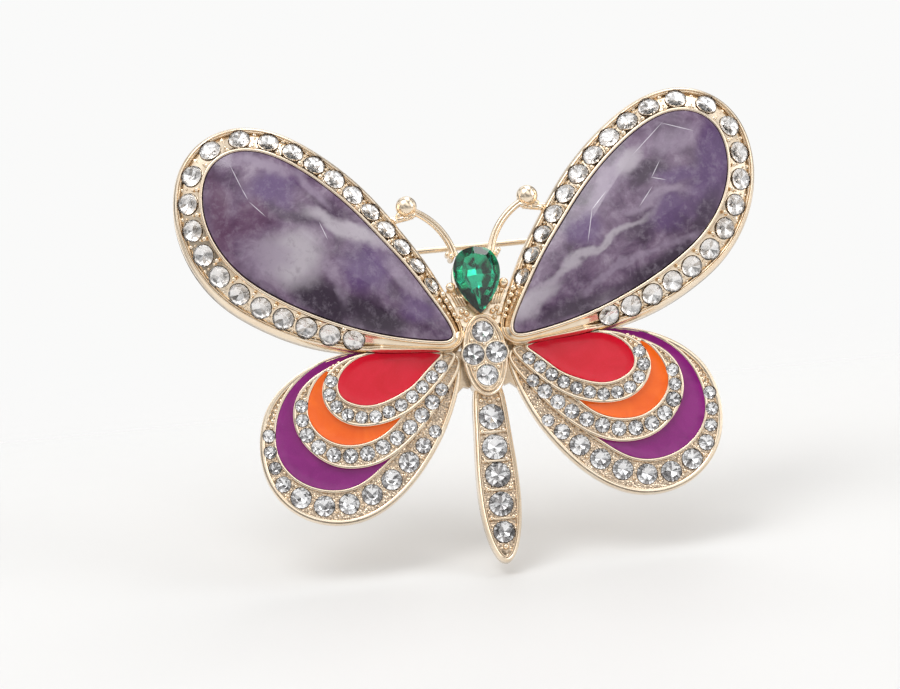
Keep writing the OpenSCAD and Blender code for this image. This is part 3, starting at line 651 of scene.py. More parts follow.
def amethyst_material(side):
    """Purple quartz with milky clouds, dark zones and painted highlights along a few facet edges."""
    n = Finish(f"amethyst_{'left' if side < 0 else 'right'}", IOR=1.5, Coat_Weight=0.25, Coat_Roughness=0.04)
    offset = n.node("Mapping", {"Vector": n.mm, "Location": (17.0 * side, 0, 3.0)}).outputs["Vector"]
    wide = n.noise(0.20, 4.0, 0.5, 0.0, offset, "Color")
    wisp = n.node("VectorMath", {0: wide, 1: (0.5, 0.5, 0.5)}, operation="SUBTRACT").outputs[0]
    bent = n.node("VectorMath", {0: wisp, 1: (4.5, 4.5, 4.5), 2: n.mm}, operation="MULTIPLY_ADD").outputs[0]
    tone = n.ramp(n.noise(0.3, 7, 0.62, 0.5, offset), [
        (0.32, (0.055, 0.026, 0.060)), (0.45, (0.115, 0.068, 0.125)),
        (0.56, (0.185, 0.120, 0.195)), (0.70, (0.33, 0.26, 0.34)),
    ])

    def spot(vector, x, y, long, thick, turn, colour, strength, far, near):
        place = {"Location": (x, 0, y - PIN_LEVEL), "Rotation": (0, -turn, 0), "Scale": (long, DEEP, thick)}
        local = n.node("Mapping", {"Vector": vector, **place}, vector_type="TEXTURE").outputs["Vector"]
        away = n.node("VectorMath", {0: local}, operation="LENGTH").outputs["Value"]
        return n.mix(n.span(away, 0, strength, far, near, "SMOOTHSTEP"), tone, colour)

    for x, y, long, thick, turn, strength, colour in CLOUDS[side]:
        tone = spot(bent, x, y, long, thick, math.radians(turn), colour, strength, 1.45, 0.45)
    fine = n.noise(1.1, 8, 0.7, 0.3, offset)
    tone = n.mix(n.span(fine, 0, 0.45, 0.5, 0.75), tone, (0.36, 0.30, 0.38))
    tone = n.mix(n.span(fine, 0.4, 0, 0.22, 0.46), tone, (0.055, 0.028, 0.06))
    # Thin lines of painted highlight along facet edges.
    for x0, y0, x1, y1 in GLINT_LINES[side]:
        half, turn = math.hypot(x1 - x0, y1 - y0) / 2, math.atan2(y1 - y0, x1 - x0)
        tone = spot(n.mm, (x0 + x1) / 2, (y0 + y1) / 2, half, 0.045, turn, EDGE_GLINT, 0.7, 1.3, 0.6)
    polish = n.span(n.noise(0.8, 4), 0.10, 0.24, 0.35, 0.7)
    return n.set(Base_Color=tone, Roughness=polish, Normal=n.bump(n.noise(1.6, 4), 0.05, 0.06))


amethyst_stones = {side: amethyst_material(side) for side in (-1, 1)}


def adhesive_material():
    n = Finish("adhesive", IOR=1.5)
    tone = n.mix(n.span(n.noise(0.5, 3), 0, 1), (0.72, 0.68, 0.58), (0.60, 0.55, 0.44))
    return n.set(Base_Color=tone, Roughness=n.span(n.noise(2, 2), 0.3, 0.5))


adhesive = adhesive_material()


# ---- stones ----

def brilliant(d, turn, back, dark_facet_share):
    """A round stone, its girdle at z = 0: crown in slot 0, bright foil in slot 1 and, in slot 2, darker foil
    as painted dark reflections.
    """
    def ring(count, share, z, shift=0.0):
        a = turn + (shift + np.arange(count) / count) * math.tau
        return ring_at(share * d / 2 * np.stack([np.cos(a), np.sin(a)], 1), z)

    half = 1 / 16
    points = [ring(8, 0.58, 0.16 * d), ring(8, 0.80, 0.10 * d, half), ring(16, 1, 0.02 * d),
              ring(16, 1, -0.02 * d), ring(8, 0.42, -0.62 * back * d, half), [[0, 0, -back * d]]]
    # First point of the table, the stars, the girdle's two edges, the back's facets, and its tip
    t, s, g, h, p, c = 0, 8, 16, 32, 48, 56
    faces, slots = [[t + k for k in range(8)]], [0]
    for k in range(8):
        k1, m = (k + 1) % 8, (k + 7) % 8
        e, e1, e2 = 2 * k, 2 * k + 1, (2 * k + 2) % 16
        # Some back facets get the darker foil, as a painted dark reflection.
        dark_facet = (rng.random(3) < dark_facet_share) + 1
        faces += [[t + k, s + k, t + k1], [t + k, s + m, g + e, s + k]]
        faces += [[s + k, g + e, g + e1], [s + k, g + e1, g + e2]]
        faces += [[p + k, h + e1, h + e], [p + k, h + e2, h + e1], [c, p + k, h + e, p + m]]
        faces += [[g + e, h + e, h + e1, g + e1], [g + e1, h + e1, h + e2, g + e2]]
        slots += [0, 0, 0, 0, *dark_facet, 1, 1]
    return Shape().add(np.vstack(points), faces, slots)


def pear_shape(grow=1.0):
    """The pear stone, ground flat by planes: a table, a ring of crown facets and eight foiled ones behind."""
    line = PEAR_MID + grow * (np.roll(pear_line, 6, 0) - PEAR_MID)
    run = closed_lengths(line)
    out = normals(line)
    form = bmesh.new()
    ends = [[form.verts.new((x, y, z)) for x, y in line] for z in (PEAR_LOW, PEAR_TABLE)]
    form.faces.new(ends[0][::-1])
    form.faces.new(ends[1])
    for i in range(len(line)):
        j = (i + 1) % len(line)
        form.faces.new([ends[0][i], ends[0][j], ends[1][j], ends[1][i]])
    for count, slope, z in ((10, PEAR_CROWN_SLOPE, PEAR_GIRDLE), (8, -PEAR_BACK_SLOPE, -PEAR_GIRDLE)):
        for k in range(count):
            i = np.searchsorted(run, (k + 0.5) / count * run[-1]) % len(line)
            tilt = math.radians(slope)
            face = Vector((*out[i] * math.sin(abs(tilt)), math.copysign(math.cos(tilt), tilt)))
            everything = form.verts[:] + form.edges[:] + form.faces[:]
            plane = {"plane_co": (*line[i], z), "plane_no": face, "clear_outer": True}
            cut = bmesh.ops.bisect_plane(form, geom=everything, dist=1e-5, **plane)
            rim = [e for e in cut["geom_cut"] if isinstance(e, bmesh.types.BMEdge) and e.is_boundary]
            if rim:
                bmesh.ops.contextual_create(form, geom=rim)
    bmesh.ops.recalc_face_normals(form, faces=form.faces)
    form.verts.index_update()
    points = [(*v.co.xy, v.co.z + EMERALD_Z) for v in form.verts]
    faces = [[v.index for v in f.verts] for f in form.faces]
    shape = Shape().add(points, faces, [int(f.normal.z < -0.3) for f in form.faces])
    form.free()
    return shape


def lean():
    """A small random lean, as hand-set stones have."""
    x, y = rng.uniform(-LEAN, LEAN), rng.uniform(-LEAN, LEAN)
    return Matrix.Rotation(x, 4, "X") @ Matrix.Rotation(y, 4, "Y")


def upper_places():
    """The place and lean of each border stone, with its diameter and its tilt."""
    mid_z = (CHANNEL_IN_Z + CHANNEL_OUT_Z) / 2 + STONE_LIFT
    places = []
    for x, y, turn, tilt, d in upper_row():
        at = Matrix.Translation((x, y, mid_z)) @ Matrix.Rotation(turn, 4, "Z") @ Matrix.Rotation(tilt, 4, "Y")
        places.append((at, d, tilt))
    return places


def flat_places(stones, z):
    return [(Matrix.Translation((x, y, z + STONE_LIFT)), d, 0) for x, y, d in stones]


def rhinestones(name, places, side=1, back=LOWER_BACK, dark_facet_share=LOWER_DARK_FACETS, foils=(foil, dark_reflection_foil)):
    shape = Shape()
    for at, d, _ in places:
        shape.join(brilliant(d, rng.uniform(0, math.tau), back, dark_facet_share).placed(at @ lean()))
    settle(shape.build(side, [crystal, *foils], 0), name)


def seat_shape(stones, z, gap=SEAT_GAP):
    """Straight holes that the stones of a flat row sit in."""
    shape = Shape()
    for x, y, d in stones:
        shape.prism([x, y] + (d / 2 + gap) * circle(28), z - SEAT_DEPTH, z + 3, 1)
    return shape


# ---- castings ----

OUTER_RIM_W = 0.58
# Where grains go on beyond the last stones of a lower wing's rows, up to the upper wing
GRAIN_PATHS = {
    "inner": [[17.1, -13.15], [16.6, -12.75], [16.0, -12.4]],
    "middle": [[20.5, -15.6], [19.6, -14.5], [18.6, -13.7], [17.8, -13.2]],
    "outer": [[24.55, -18.3], [24.0, -16.9], [23.2, -15.6], [22.3, -14.6]],
}
PAD_HALF = np.array([2.3, 2.2])
RIM_FOOT_Z = 2.14  # where the border's slope meets the rim


def sideways(path):
    """Unit vectors across an open path."""
    ahead = np.gradient(path, axis=0)
    return np.stack([-ahead[:, 1], ahead[:, 0]], 1) / np.linalg.norm(ahead, axis=1)[:, None]


def beads_between(shape, places, lift, reach, size):
    """A large and a small grain on both sides of each gap. places: [x, y, z, across x, across y, slope]."""
    for a, b in zip(places[:-1], places[1:]):
        mid, across = (a[:3] + b[:3]) / 2, (a[3:5] + b[3:5]) / 2
        across = across / np.linalg.norm(across)
        along = np.array([-across[1], across[0]])
        for s in (-1, 1):
            for share, r, stray in ((1, size, 0), (0.45, 0.55 * size, 0.1)):
                spread = s * share * reach
                step = along * (rng.uniform(-stray, stray) if stray else 0)
                at = np.r_[mid[:2] + spread * across + step, mid[2] + lift - spread * places[0][5]]
                shape.ball(at, r * rng.uniform(0.85, 1.15), 6)


def upper_profile():
    """(distance outside the amethyst, height, slot) from the back, up the wall, over rim and bezel."""
    w = border_w
    k = np.clip((w - 0.5) / 1.6, 0.3, 1)  # the rim narrows with the border
    outer = w - 0.8 * k
    run = closed_lengths(amethyst_line)
    # The stretch before the first stone is raised, to face forwards
    plain = np.clip((BORDER_START - 0.022 - run[:-1] / run[-1]) / 0.02, 0, 1)
    lift = plain * np.maximum(0, CHANNEL_IN_Z - RIM_FOOT_Z - 0.5 * (outer - CHANNEL_IN))
    steps = [(w - 1.15, 0.22, 2), (w - 1.0, 0.0, 2), (w - 0.12, 0.0, 0), (w, 0.12, 0), (w, 1.5, 0)]
    steps.append((w - 0.04 * k, 1.8, 0))
    for d, z in ((0.14, 2.12), (0.26, 2.36), (0.36, 2.48), (0.44, RIM_Z), (0.5, 2.46), (0.54, 2.34),
                 (0.58, 2.46), (0.64, RIM_Z), (0.72, 2.47), (0.78, 2.36), (0.8, 2.16)):
        steps.append((w - d * k, z + lift, 0))
    for f in (0.0, 0.2, 0.4, 0.6, 0.8, 1.0):
        slope_z = RIM_FOOT_Z + lift + f * (CHANNEL_IN_Z - RIM_FOOT_Z - lift)
        steps.append((outer + f * (CHANNEL_IN - outer), slope_z, 0))
    for d, z in ((0.48, 3.7), (0.44, 3.84), (0.36, BEZEL_Z), (0.2, BEZEL_Z), (0.11, 3.85), (0.07, 3.74),
                 (0.05, 3.4), (0.05, TRAY_Z)):
        steps.append((np.full_like(w, d), z, 0))
    return steps


def upper_tail(shape):
    """Pairs of grains that go on from the last top stone down to the body."""
    for i, (x, y) in enumerate([(4.25, -5.75), (3.95, -6.5), (3.6, -7.3), (3.25, -8.1), (3.0, -8.8)]):
        for s in (-1, 1):
            shape.ball((x + 0.36 * s, y + 0.1 * s, 2.95 - 0.22 * s), 0.34 - 0.02 * i)


def upper_wing(side, name):
    steps = upper_profile()
    rings = [ring_at(grown(amethyst_line, d), z) for d, z, _ in steps]
    piece = Shape().loft(rings, [s for _, _, s in steps[1:]]).build(side)
    seats, details, places = Shape(), Shape(), []
    for at, d, tilt in upper_places():
        seats.join(Shape().prism((d / 2 + SEAT_GAP) * circle(28), -UPPER_SEAT_DEPTH, 2, 1).placed(at))
        out = at.to_3x3() @ Vector((1, 0, 0))
        places.append(np.array([*at.translation, out.x, out.y, math.tan(tilt)]))
    carve(piece, seats, side)
    trim(piece, oval(THORAX_JOIN), side)
    pad = PAD_HALF * [[-1, -1], [1, -1], [1, 1], [-1, 1]] + [HINGE_X if side < 0 else CATCH_X, PIN_LEVEL]
    details.prism(pad, 0.0, 0.3, 2)
    beads_between(details, places, -0.04, 0.80, 0.27)
    upper_tail(details)
    weld(piece, details, side)
    settle(piece, name)


def rough(size):
    """Small random heights for a cast floor, none at its edge."""
    return lambda points, reach: rng.uniform(-size, size, len(points)) * (reach > 0)


def tier(edge, field, floor_z, low_z):
    """One step of a lower wing: its grained floor, the rim at its edge and the wall round its enamel."""
    slab = Shape().floor(grown(edge, -0.03), low_z, floor_z, 0.26, rough(0.04), 1)
    width = np.clip(edge_distance(field, edge), 0.1, WALL_W)
    low, high = floor_z - WALL_H, floor_z + WALL_H
    return [slab, Shape().ridge(edge, WALL_W, low, high),
            Shape().ridge(grown(field, width), width, low, high, bevel=0.25 * width)]


def row_beads(shape, stones, z):
    """Grain prongs beside the gaps of a row on a flat floor."""
    places = [np.array([*m, z, *a, 0]) for m, a in zip(stones[:, :2], sideways(stones[:, :2]))]
    d = stones[:, 2].mean()
    beads_between(shape, places, 0.02, 0.36 * d, 0.105 * d)


def grain_pairs(shape, points, z):
    """Grains two by two along a path, smaller towards its end."""
    path = open_curve(points)
    run, across = lengths(path), sideways(path)
    count = int(run[-1] / 0.62) + 1
    for k, where in enumerate(np.linspace(0, run[-1], count)):
        i = min(np.searchsorted(run, where), len(path) - 1)
        r = 0.29 - 0.09 * k / count
        for s in (-1, 1):
            shape.ball((*(path[i] + s * (1.15 * r) * across[i]), z + 0.05), r, 6)


rows = {
    "inner": (stone_row(INNER_PATH, INNER_SIZES), INNER_FLOOR),
    "middle": (stone_row(MIDDLE_PATH, MIDDLE_SIZES), MIDDLE_FLOOR),
    "outer": (stone_row(OUTER_PATH, OUTER_SIZES), OUTER_FLOOR),
}


def lower_wing(side, name):
    piece = Shape().prism(grown(outer_line, -0.03), 0, OUTER_FLOOR - 0.2).build(side)
    solids = tier(outer_line, purple_line, OUTER_FLOOR, 0.5)
    solids += tier(middle_line, orange_line, MIDDLE_FLOOR, 0.6)
    solids += tier(inner_line, red_line, INNER_FLOOR, 0.7)
    # The outer rim is wider than the inner walls, and narrows where the purple enamel comes close
    rim = np.clip(edge_distance(outer_line, purple_line) - 0.03, 0.2, OUTER_RIM_W)
    solids.append(Shape().ridge(outer_line, rim, 0, OUTER_FLOOR + WALL_H, bevel=0.35 * rim))
    solids.append(Shape().prism(np.array(WEB), 0, OUTER_FLOOR))
    for solid in solids:
        weld(piece, solid, side)
    carve(piece, Shape().loft(stepped(outer_line, ((1.0, -0.5), (1.0, 0.02), (1.15, 0.22))), 2), side)
    trim(piece, upper_line, side)
    trim(piece, oval(THORAX_JOIN), side)
    beads = Shape()
    for part, (stones, z) in rows.items():
        carve(piece, seat_shape(stones, z), side)
        row_beads(beads, stones, z)
        grain_pairs(beads, GRAIN_PATHS[part], z)
    weld(piece, beads, side)
    settle(piece, name)


def thorax(name="thorax_casting"):
    z = THORAX_Z
    piece = Shape().floor(oval(0.1), 0, z, 0.4, rough(0.012)).build()
    groove = [(0.52, z + 1), (0.5, z - 0.34), (0.40, z - 0.34), (0.36, z + 1)]
    carve(piece, Shape().loft([ring_at(oval(d), h) for d, h in groove], capped=False))
    rim = [(0.1, 0), (0, 0.1), (0, z - 0.25), (0.04, z + 0.02), (0.1, z + 0.12), (0.18, z + 0.16),
           (0.28, z + 0.12), (0.34, z), (0.36, z - 0.3), (0.36, 0)]
    wall = [(0.52, z - 0.4), (0.54, z + 0.12), (0.6, z + 0.2), (0.68, z + 0.2), (0.74, z + 0.12),
            (0.76, z - 0.4)]
    for steps in (rim, wall):
        weld(piece, Shape().loft([ring_at(oval(d), h) for d, h in steps], capped=False))
    for x, y, d in THORAX_STONES:
        weld(piece, Shape().ridge([x, y] + (d / 2 + 0.2) * circle(40), 0.2, z - 0.4, z + 0.14, bevel=0.07))
    carve(piece, seat_shape(THORAX_STONES, z, gap=0.03))
    beads = Shape().ball((0, -13.98, z + 0.1), 0.26).ball((0, -11.82, z + 0.1), 0.26)
    for s in (-1, 1):
        beads.ball((1.32 * s, -11.3, z + 0.08), 0.24).ball((1.32 * s, -14.5, z + 0.08), 0.24)
    weld(piece, beads)
    settle(piece, name)


def abdomen(name="abdomen_casting"):
    z = ABDOMEN_Z
    piece = Shape().floor(grown(abdomen_line, -0.2), 0, ABDOMEN_FLOOR - 0.02, 0.24, rough(0.04), 1).build()
    rim = [(0.1, 0), (0, 0.1), (0, z - 0.9), (0.05, z - 0.4), (0.13, z - 0.1), (0.24, z), (0.34, z - 0.02),
           (0.4, z - 0.12), (0.44, z - 0.12), (0.48, z - 0.02), (0.55, z - 0.02), (0.6, z - 0.14), (0.6, 0)]
    weld(piece, Shape().loft(stepped(abdomen_line, rim), capped=False))
    bars, knots = Shape(), Shape()
    for (_, y, d), (_, y1, d1) in zip(ABDOMEN_STONES[:-1], ABDOMEN_STONES[1:]):
        mid = (y - d / 2 + y1 + d1 / 2) / 2
        bend = ((-1.5, 0.3), (-0.7, 0.2), (0.7, 0.2), (1.5, 0.3))
        bars.tube([(x, mid, z - drop) for x, drop in bend], 0.18, 12)
        for s in (-1, 1):
            knots.ball((1.2 * s, mid + 0.1, z - 0.16), 0.26)
    for x, y, r in ((0, -34.35, 0.32), (-0.95, -17.95, 0.28), (0.95, -17.95, 0.28), (0, -18.1, 0.25)):
        knots.ball((x, y, z - 0.25), r)
    weld(piece, bars)
    weld(piece, knots)
    carve(piece, seat_shape(ABDOMEN_STONES, ABDOMEN_FLOOR, gap=0.04))
    trim(piece, oval(THORAX_JOIN))
    settle(piece, name)


def head(name="head_setting"):
    z = EMERALD_Z
    steps = [(0.98, 0), (1.0, 0.1), (1.0, 1.9), (0.97, 2.4), (0.95, z - 0.5), (0.97, z - 0.2),
             (0.96, z - 0.12)]
    piece = Shape().loft([ring_at(about_pear(f), h) for f, h in steps]).build()
    for side in (-1, 1):
        weld(piece, Shape().floor(closed_curve(FLANK_EDGE, 8), 0, 2.05, 0.4, rough(0.02)), side)
        ribs, grains = Shape(), Shape()
        for k in range(4):
            x = 2.95 - 0.3 * k
            ribs.tube([(x, -5.7 - 0.12 * k, 2.1), (x - 0.25, -6.3, 2.4), (x - 0.62, -7.2, 2.3)], 0.12, 10)
        for x, y, h, r in ((2.95, -5.05, 2.75, 0.55), (1.95, -7.75, 2.3, 0.32), (1.45, -8.05, 2.35, 0.34),
                           (2.1, -8.35, 2.2, 0.26), (1.6, -8.75, 2.2, 0.26), (1.05, -8.75, 2.2, 0.24),
                           (2.65, -5.75, 2.45, 0.28)):
            grains.ball((x, y, h), r)
        feet = Shape().post(2.5, -1.62, 0.6, 3.3, 0.34).post(2.85, -1.2, 1.2, 2.6, 0.28)
        for shape in (ribs, grains, feet):
            weld(piece, shape, side)
    carve(piece, pear_shape(1.004))
    for side in (-1, 1):
        trim(piece, grown(upper_line, -0.1), side)
    trim(piece, oval(THORAX_JOIN))
    settle(piece, name)


WIRE_CENTRE, WIRE_R, WIRE_Z = np.array([9.7, -2.75]), 7.8, 1.5
BALL_AT, BALL_R = (6.8, 4.75, 1.5), 1.2


def antenna(side, name):
    a = np.radians(np.linspace(170, 116, 36))
    path = ring_at(WIRE_CENTRE + WIRE_R * np.stack([np.cos(a), np.sin(a)], 1), WIRE_Z)
    radius = np.interp(np.linspace(0, 1, len(a)), [0, 0.1, 1], [0.47, 0.43, 0.42])
    piece = Shape().tube(path, radius, 28, groove=0.42).build(side)
    weld(piece, Shape().ball(BALL_AT, BALL_R, 28), side)
    bridge = [(6.2, 3.75, 1.3), (7.2, 3.55, 1.35), (8.2, 3.4, 1.35), (9.2, 3.4, 1.3)]
    weld(piece, Shape().tube(bridge, 0.42), side)
    knots = Shape()
    for x, y, r in ((6.15, 3.75, 0.36), (6.95, 3.45, 0.32), (7.75, 3.85, 0.34), (8.15, 3.2, 0.3)):
        knots.ball((x, y, 1.6), r)
    weld(piece, knots, side)
    trim(piece, upper_line, side)
    trim(piece, about_pear(0.9), side)
    settle(piece, name)


# ---- amethysts, emerald and enamel ----

SPINE = np.array([[7.5, -8], [23.5, 6]])  # the line that each dome's facets fall away from
# Corners of the facets ground on each amethyst
CORNERS = {
    1: [
        [18.9, 7.7], [22, 10.6], [25.7, 10], [26.6, 6.4], [25.2, 2.4], [21.2, 0.2], [15.4, -3.9],
        [10.6, -7.6], [8.2, -7.5], [11.2, -2.2], [15, 2.9], [21.6, 6.6], [20.5, 4.7], [22.9, 4.2],
        [18.6, 1.6], [14, -2],
    ],
    -1: [
        [16.6, 5.6], [20.2, 9.2], [25.6, 10.4], [27.1, 6], [25.2, 0.8], [20.4, -1.6], [15.2, -4.4],
        [10, -7.9], [7.9, -7.4], [10.6, -2.6], [13.2, 1.2], [24.7, 7.3], [22.9, 4.5], [16.5, 2.2],
        [19.6, 3], [13.5, -3.2],
    ],
}


def dome_height(points):
    rel = points - SPINE[0]
    d = (SPINE[1] - SPINE[0]) / np.linalg.norm(SPINE[1] - SPINE[0])
    along, across = rel @ d, rel @ [-d[1], d[0]]
    return AMETHYST_Z - 0.035 * across**2 - 0.004 * (along - 12)**2


def amethyst(side, name):
    """The stone is the hull of its outline and its facet corners, with polished edges."""
    corners = np.array(CORNERS[side])
    points = np.vstack([
        ring_at(grown(amethyst_line, -0.12), TRAY_Z + 0.3), ring_at(amethyst_line, TRAY_Z + 0.5),
        ring_at(amethyst_line, BEZEL_Z + 0.06), np.c_[corners, dome_height(corners)],
    ])
    form = bmesh.new()
    for x, y, z in points:
        form.verts.new((x * side * MM, -(z + BACK_GAP) * MM, (y - PIN_LEVEL) * MM))
    bmesh.ops.convex_hull(form, input=form.verts)
    bmesh.ops.delete(form, geom=[v for v in form.verts if not v.link_faces], context="VERTS")
    bmesh.ops.dissolve_limit(form, angle_limit=math.radians(1.2), verts=form.verts, edges=form.edges)
    above_bezel = -(BEZEL_Z + BACK_GAP + 0.2) * MM
    edges = [e for e in form.edges
             if e.is_manifold and math.radians(2) < e.calc_face_angle() < math.radians(40)
             and all(v.co.y < above_bezel for v in e.verts)]
    bmesh.ops.bevel(form, geom=edges, offset=0.06 * MM, segments=2, profile=0.5, affect="EDGES")
    bmesh.ops.recalc_face_normals(form, faces=form.faces)
    mesh = bpy.data.meshes.new("piece")
    form.to_mesh(mesh)
    form.free()
    settle(placed_mesh(mesh, [amethyst_stones[side]], 4), name)


def emerald(name="emerald"):
    settle(pear_shape().build(1, [emerald_glass, emerald_foil], 0), name)


def enamel(slot, side, name):
    """Enamel poured to the walls, a little higher where it clings to them."""
    line, over, z, finish = ENAMELS[slot]

    def clinging(points, reach):
        return 0.09 * np.exp(-reach / 0.18)

    piece = Shape().floor(line, z - 0.05, z + ENAMEL_H, 0.5, clinging).build(side, [finish])
    for tier_line in over:
        trim(piece, tier_line, side)
    settle(piece, name)


def adhesive_bed(side, name):
    shape = Shape().floor(grown(amethyst_line, -0.2), TRAY_Z + 0.02, TRAY_Z + 0.28, 1.0, rough(0.02))
    settle(shape.build(side, [adhesive]), name)


# ---- pin, hinge and catch: drawn straight in the frame's own axes, in millimetres ----

EYE_R, EYE_W, EAR_R, EAR_W, RIVET_R, FIT = 1.15, 1.5, 1.2, 0.5, 0.4, 0.05
ROLLER_R, ROLLER_L, HOUSING_R, HOUSING_L, BORE_R, SLOT_W = 1.2, 3.6, 1.7, 2.6, 0.55, 1.0
FLANGE_R, FLANGE_W = 1.5, 0.4
PIN_R, ROOT_R, TAPER_X, TIP_X = 0.35, 0.5, 11, 16.6
PLATE_HALF, PLATE_CORNER = np.array([2.0, 1.9]), 0.6
FOOT_Y = -BACK_GAP + 0.3  # how far the ears and the post reach into their plates


def turned(profile, axis, x):
    """A solid of revolution about an axis through x, from (distance along the axis, radius) pairs."""
    order = [2, 0, 1] if axis == "X" else [0, 1, 2]
    return Shape(False).loft([ring_at(r * circle(48), h)[:, order] + [x, 0, 0] for h, r in profile])


def rounded_bar(half, r, bevel):
    side = [(half - bevel, r), (half - 0.3 * bevel, r - 0.3 * bevel), (half, r - bevel)]
    return [(-h, q) for h, q in side[::-1]] + side


def slab_z(line, z0, z1, bevel):
    """An outline in X and Y, thick along Z, with bevelled edges."""
    steps = ((bevel, z0), (0, z0 + bevel), (0, z1 - bevel), (bevel, z1))
    return Shape(False).loft(stepped(line, steps))


def plate_shape(x):
    """The soldered base plate, against the castings' back."""
    line = []
    for k, signs in enumerate([(1, 1), (-1, 1), (-1, -1), (1, -1)]):
        for a in np.linspace(0, math.pi / 2, 7) + k * math.pi / 2:
            corner = PLATE_CORNER * np.array([math.cos(a), math.sin(a)])
            line.append(signs * (PLATE_HALF - PLATE_CORNER) + corner)
    rings = []
    for inset, h in ((0, 0), (0, 0.36), (0.05, 0.46), (0.14, 0.5)):
        q = grown(np.array(line), -inset)
        rings.append(np.stack([x + q[:, 0], np.full(len(q), -BACK_GAP + h), q[:, 1]], 1))
    return Shape(False).loft(rings[::-1])


def hinge_bracket(name="hinge_bracket"):
    piece = plate_shape(-HINGE_X).build()
    arch = [[EAR_R * math.cos(t), EAR_R * math.sin(t)] for t in np.linspace(0, math.pi, 25)]
    foot = [[-EAR_R, FOOT_Y + 0.6], [-EAR_R - 0.2, FOOT_Y], [EAR_R + 0.2, FOOT_Y], [EAR_R, FOOT_Y + 0.6]]
    line = np.array(arch + foot) - [HINGE_X, 0]
    for s in (-1, 1):
        mid = s * (EYE_W / 2 + FIT + EAR_W / 2)
        weld(piece, slab_z(line, mid - EAR_W / 2, mid + EAR_W / 2, 0.06))
    carve(piece, turned([(-3, RIVET_R + 0.01), (3, RIVET_R + 0.01)], "Z", -HINGE_X))
    settle(piece, name)


def hinge_rivet(name="hinge_rivet"):
    half = EYE_W / 2 + FIT + EAR_W
    dome = [(0.0, 1.0), (0.12, 0.97), (0.22, 0.8), (0.29, 0.5), (0.31, 0.15)]
    end = [(half, RIVET_R)] + [(half + h, (RIVET_R + 0.3) * f) for h, f in dome]
    settle(turned([(-h, r) for h, r in end[::-1]] + end, "Z", -HINGE_X).build(), name)


def pin_stem(name="pin_stem"):
    piece = turned(rounded_bar(EYE_W / 2, EYE_R, 0.12), "Z", -HINGE_X).build(1, [pin_gold])
    root = -HINGE_X + 1.9
    profile = [(-HINGE_X + 0.6, ROOT_R), (root, ROOT_R), (root + 0.25, ROOT_R - 0.04), (root + 0.6, PIN_R)]
    profile += [(x, PIN_R) for x in np.linspace(root + 2, TAPER_X, 12)]
    for f in (0.2, 0.4, 0.6, 0.8, 0.92, 1.0):
        profile.append((TAPER_X + (TIP_X - TAPER_X) * f, PIN_R * (1 - f**1.4) + 0.05 * f))
    weld(piece, turned(profile, "X", 0))
    carve(piece, turned([(-3, RIVET_R + FIT), (3, RIVET_R + FIT)], "Z", -HINGE_X))
    settle(piece, name, "pin")


def open_catch(piece, bore):
    """The hole along a catch part, and the slot that the pin drops through."""
    carve(piece, turned([(-9, bore), (9, bore)], "X", CATCH_X))
    slot = np.array([[-9, 0], [9, 0], [9, 9], [-9, 9]]) + [CATCH_X, 0]
    carve(piece, slab_z(slot, -SLOT_W / 2, SLOT_W / 2, 0.0001))


def catch_housing(name="catch_housing"):
    piece = plate_shape(CATCH_X).build()
    half = HOUSING_L / 2
    line = [[half, -0.4], [-half, -0.4], [-half, FOOT_Y + 0.5], [-half - 0.2, FOOT_Y], [half + 0.2, FOOT_Y],
            [half, FOOT_Y + 0.5]]
    weld(piece, slab_z(np.array(line) + [CATCH_X, 0], -0.8, 0.8, 0.08))
    weld(piece, turned(rounded_bar(half, HOUSING_R, 0.12), "X", CATCH_X))
    open_catch(piece, ROLLER_R + FIT)
    settle(piece, name)


def catch_roller(name="catch_roller"):
    half = ROLLER_L / 2
    end = [(half - FLANGE_W, ROLLER_R), (half - FLANGE_W, FLANGE_R), (half - 0.14, FLANGE_R),
           (half - 0.06, FLANGE_R - 0.04), (half, FLANGE_R - 0.12)]
    piece = turned([(-h, r) for h, r in end[::-1]] + end, "X", CATCH_X).build()
    outline = np.array([[0.0, 0.7], [0.7, 0.7], [0.7, 2.35], [0.6, 2.5], [0.1, 2.5], [0.0, 2.35]])
    at = Matrix.Translation((CATCH_X + half - FLANGE_W, 0, 0)) @ Matrix.Rotation(math.radians(-42), 4, "X")
    weld(piece, Shape(False).prism(outline, -0.3, 0.3).placed(at))
    open_catch(piece, BORE_R)
    settle(piece, name, body="catch_roller")


# ---- the whole brooch ----

for side, word in ((-1, "left"), (1, "right")):
    upper_wing(side, f"upper_wing_casting_{word}")
    lower_wing(side, f"lower_wing_casting_{word}")
    antenna(side, f"antenna_{word}")
    amethyst(side, f"amethyst_{word}")
    adhesive_bed(side, f"amethyst_adhesive_{word}")
    foils = (soft_foil, dim_reflection_foil)
    rhinestones(f"upper_rhinestones_{word}", upper_places(), side, UPPER_BACK, UPPER_DARK_FACETS, foils)
    for part, (stones, z) in rows.items():
        rhinestones(f"{part}_rhinestones_{word}", flat_places(stones, z), side)
    for slot in ENAMELS:
        enamel(slot, side, f"{slot}_{word}")
thorax()
abdomen()
head()
emerald()
rhinestones("thorax_rhinestones", flat_places(THORAX_STONES, THORAX_Z))
rhinestones("abdomen_rhinestones", flat_places(ABDOMEN_STONES, ABDOMEN_FLOOR))
hinge_bracket()
hinge_rivet()
pin_stem()
catch_housing()
catch_roller()


# ---- floor, light and camera ----

FLOOR_TILT, FLOOR_DROP = math.radians(26), 1.2  # the drop is mm below the brooch's foot
FLOOR_NEAR, FLOOR_FAR, FLOOR_SIDE = -1.2, 0.12, 1.2
FADE_FROM, FADE_TO = 20, 95  # mm behind the brooch's foot
ROOM = 0.95


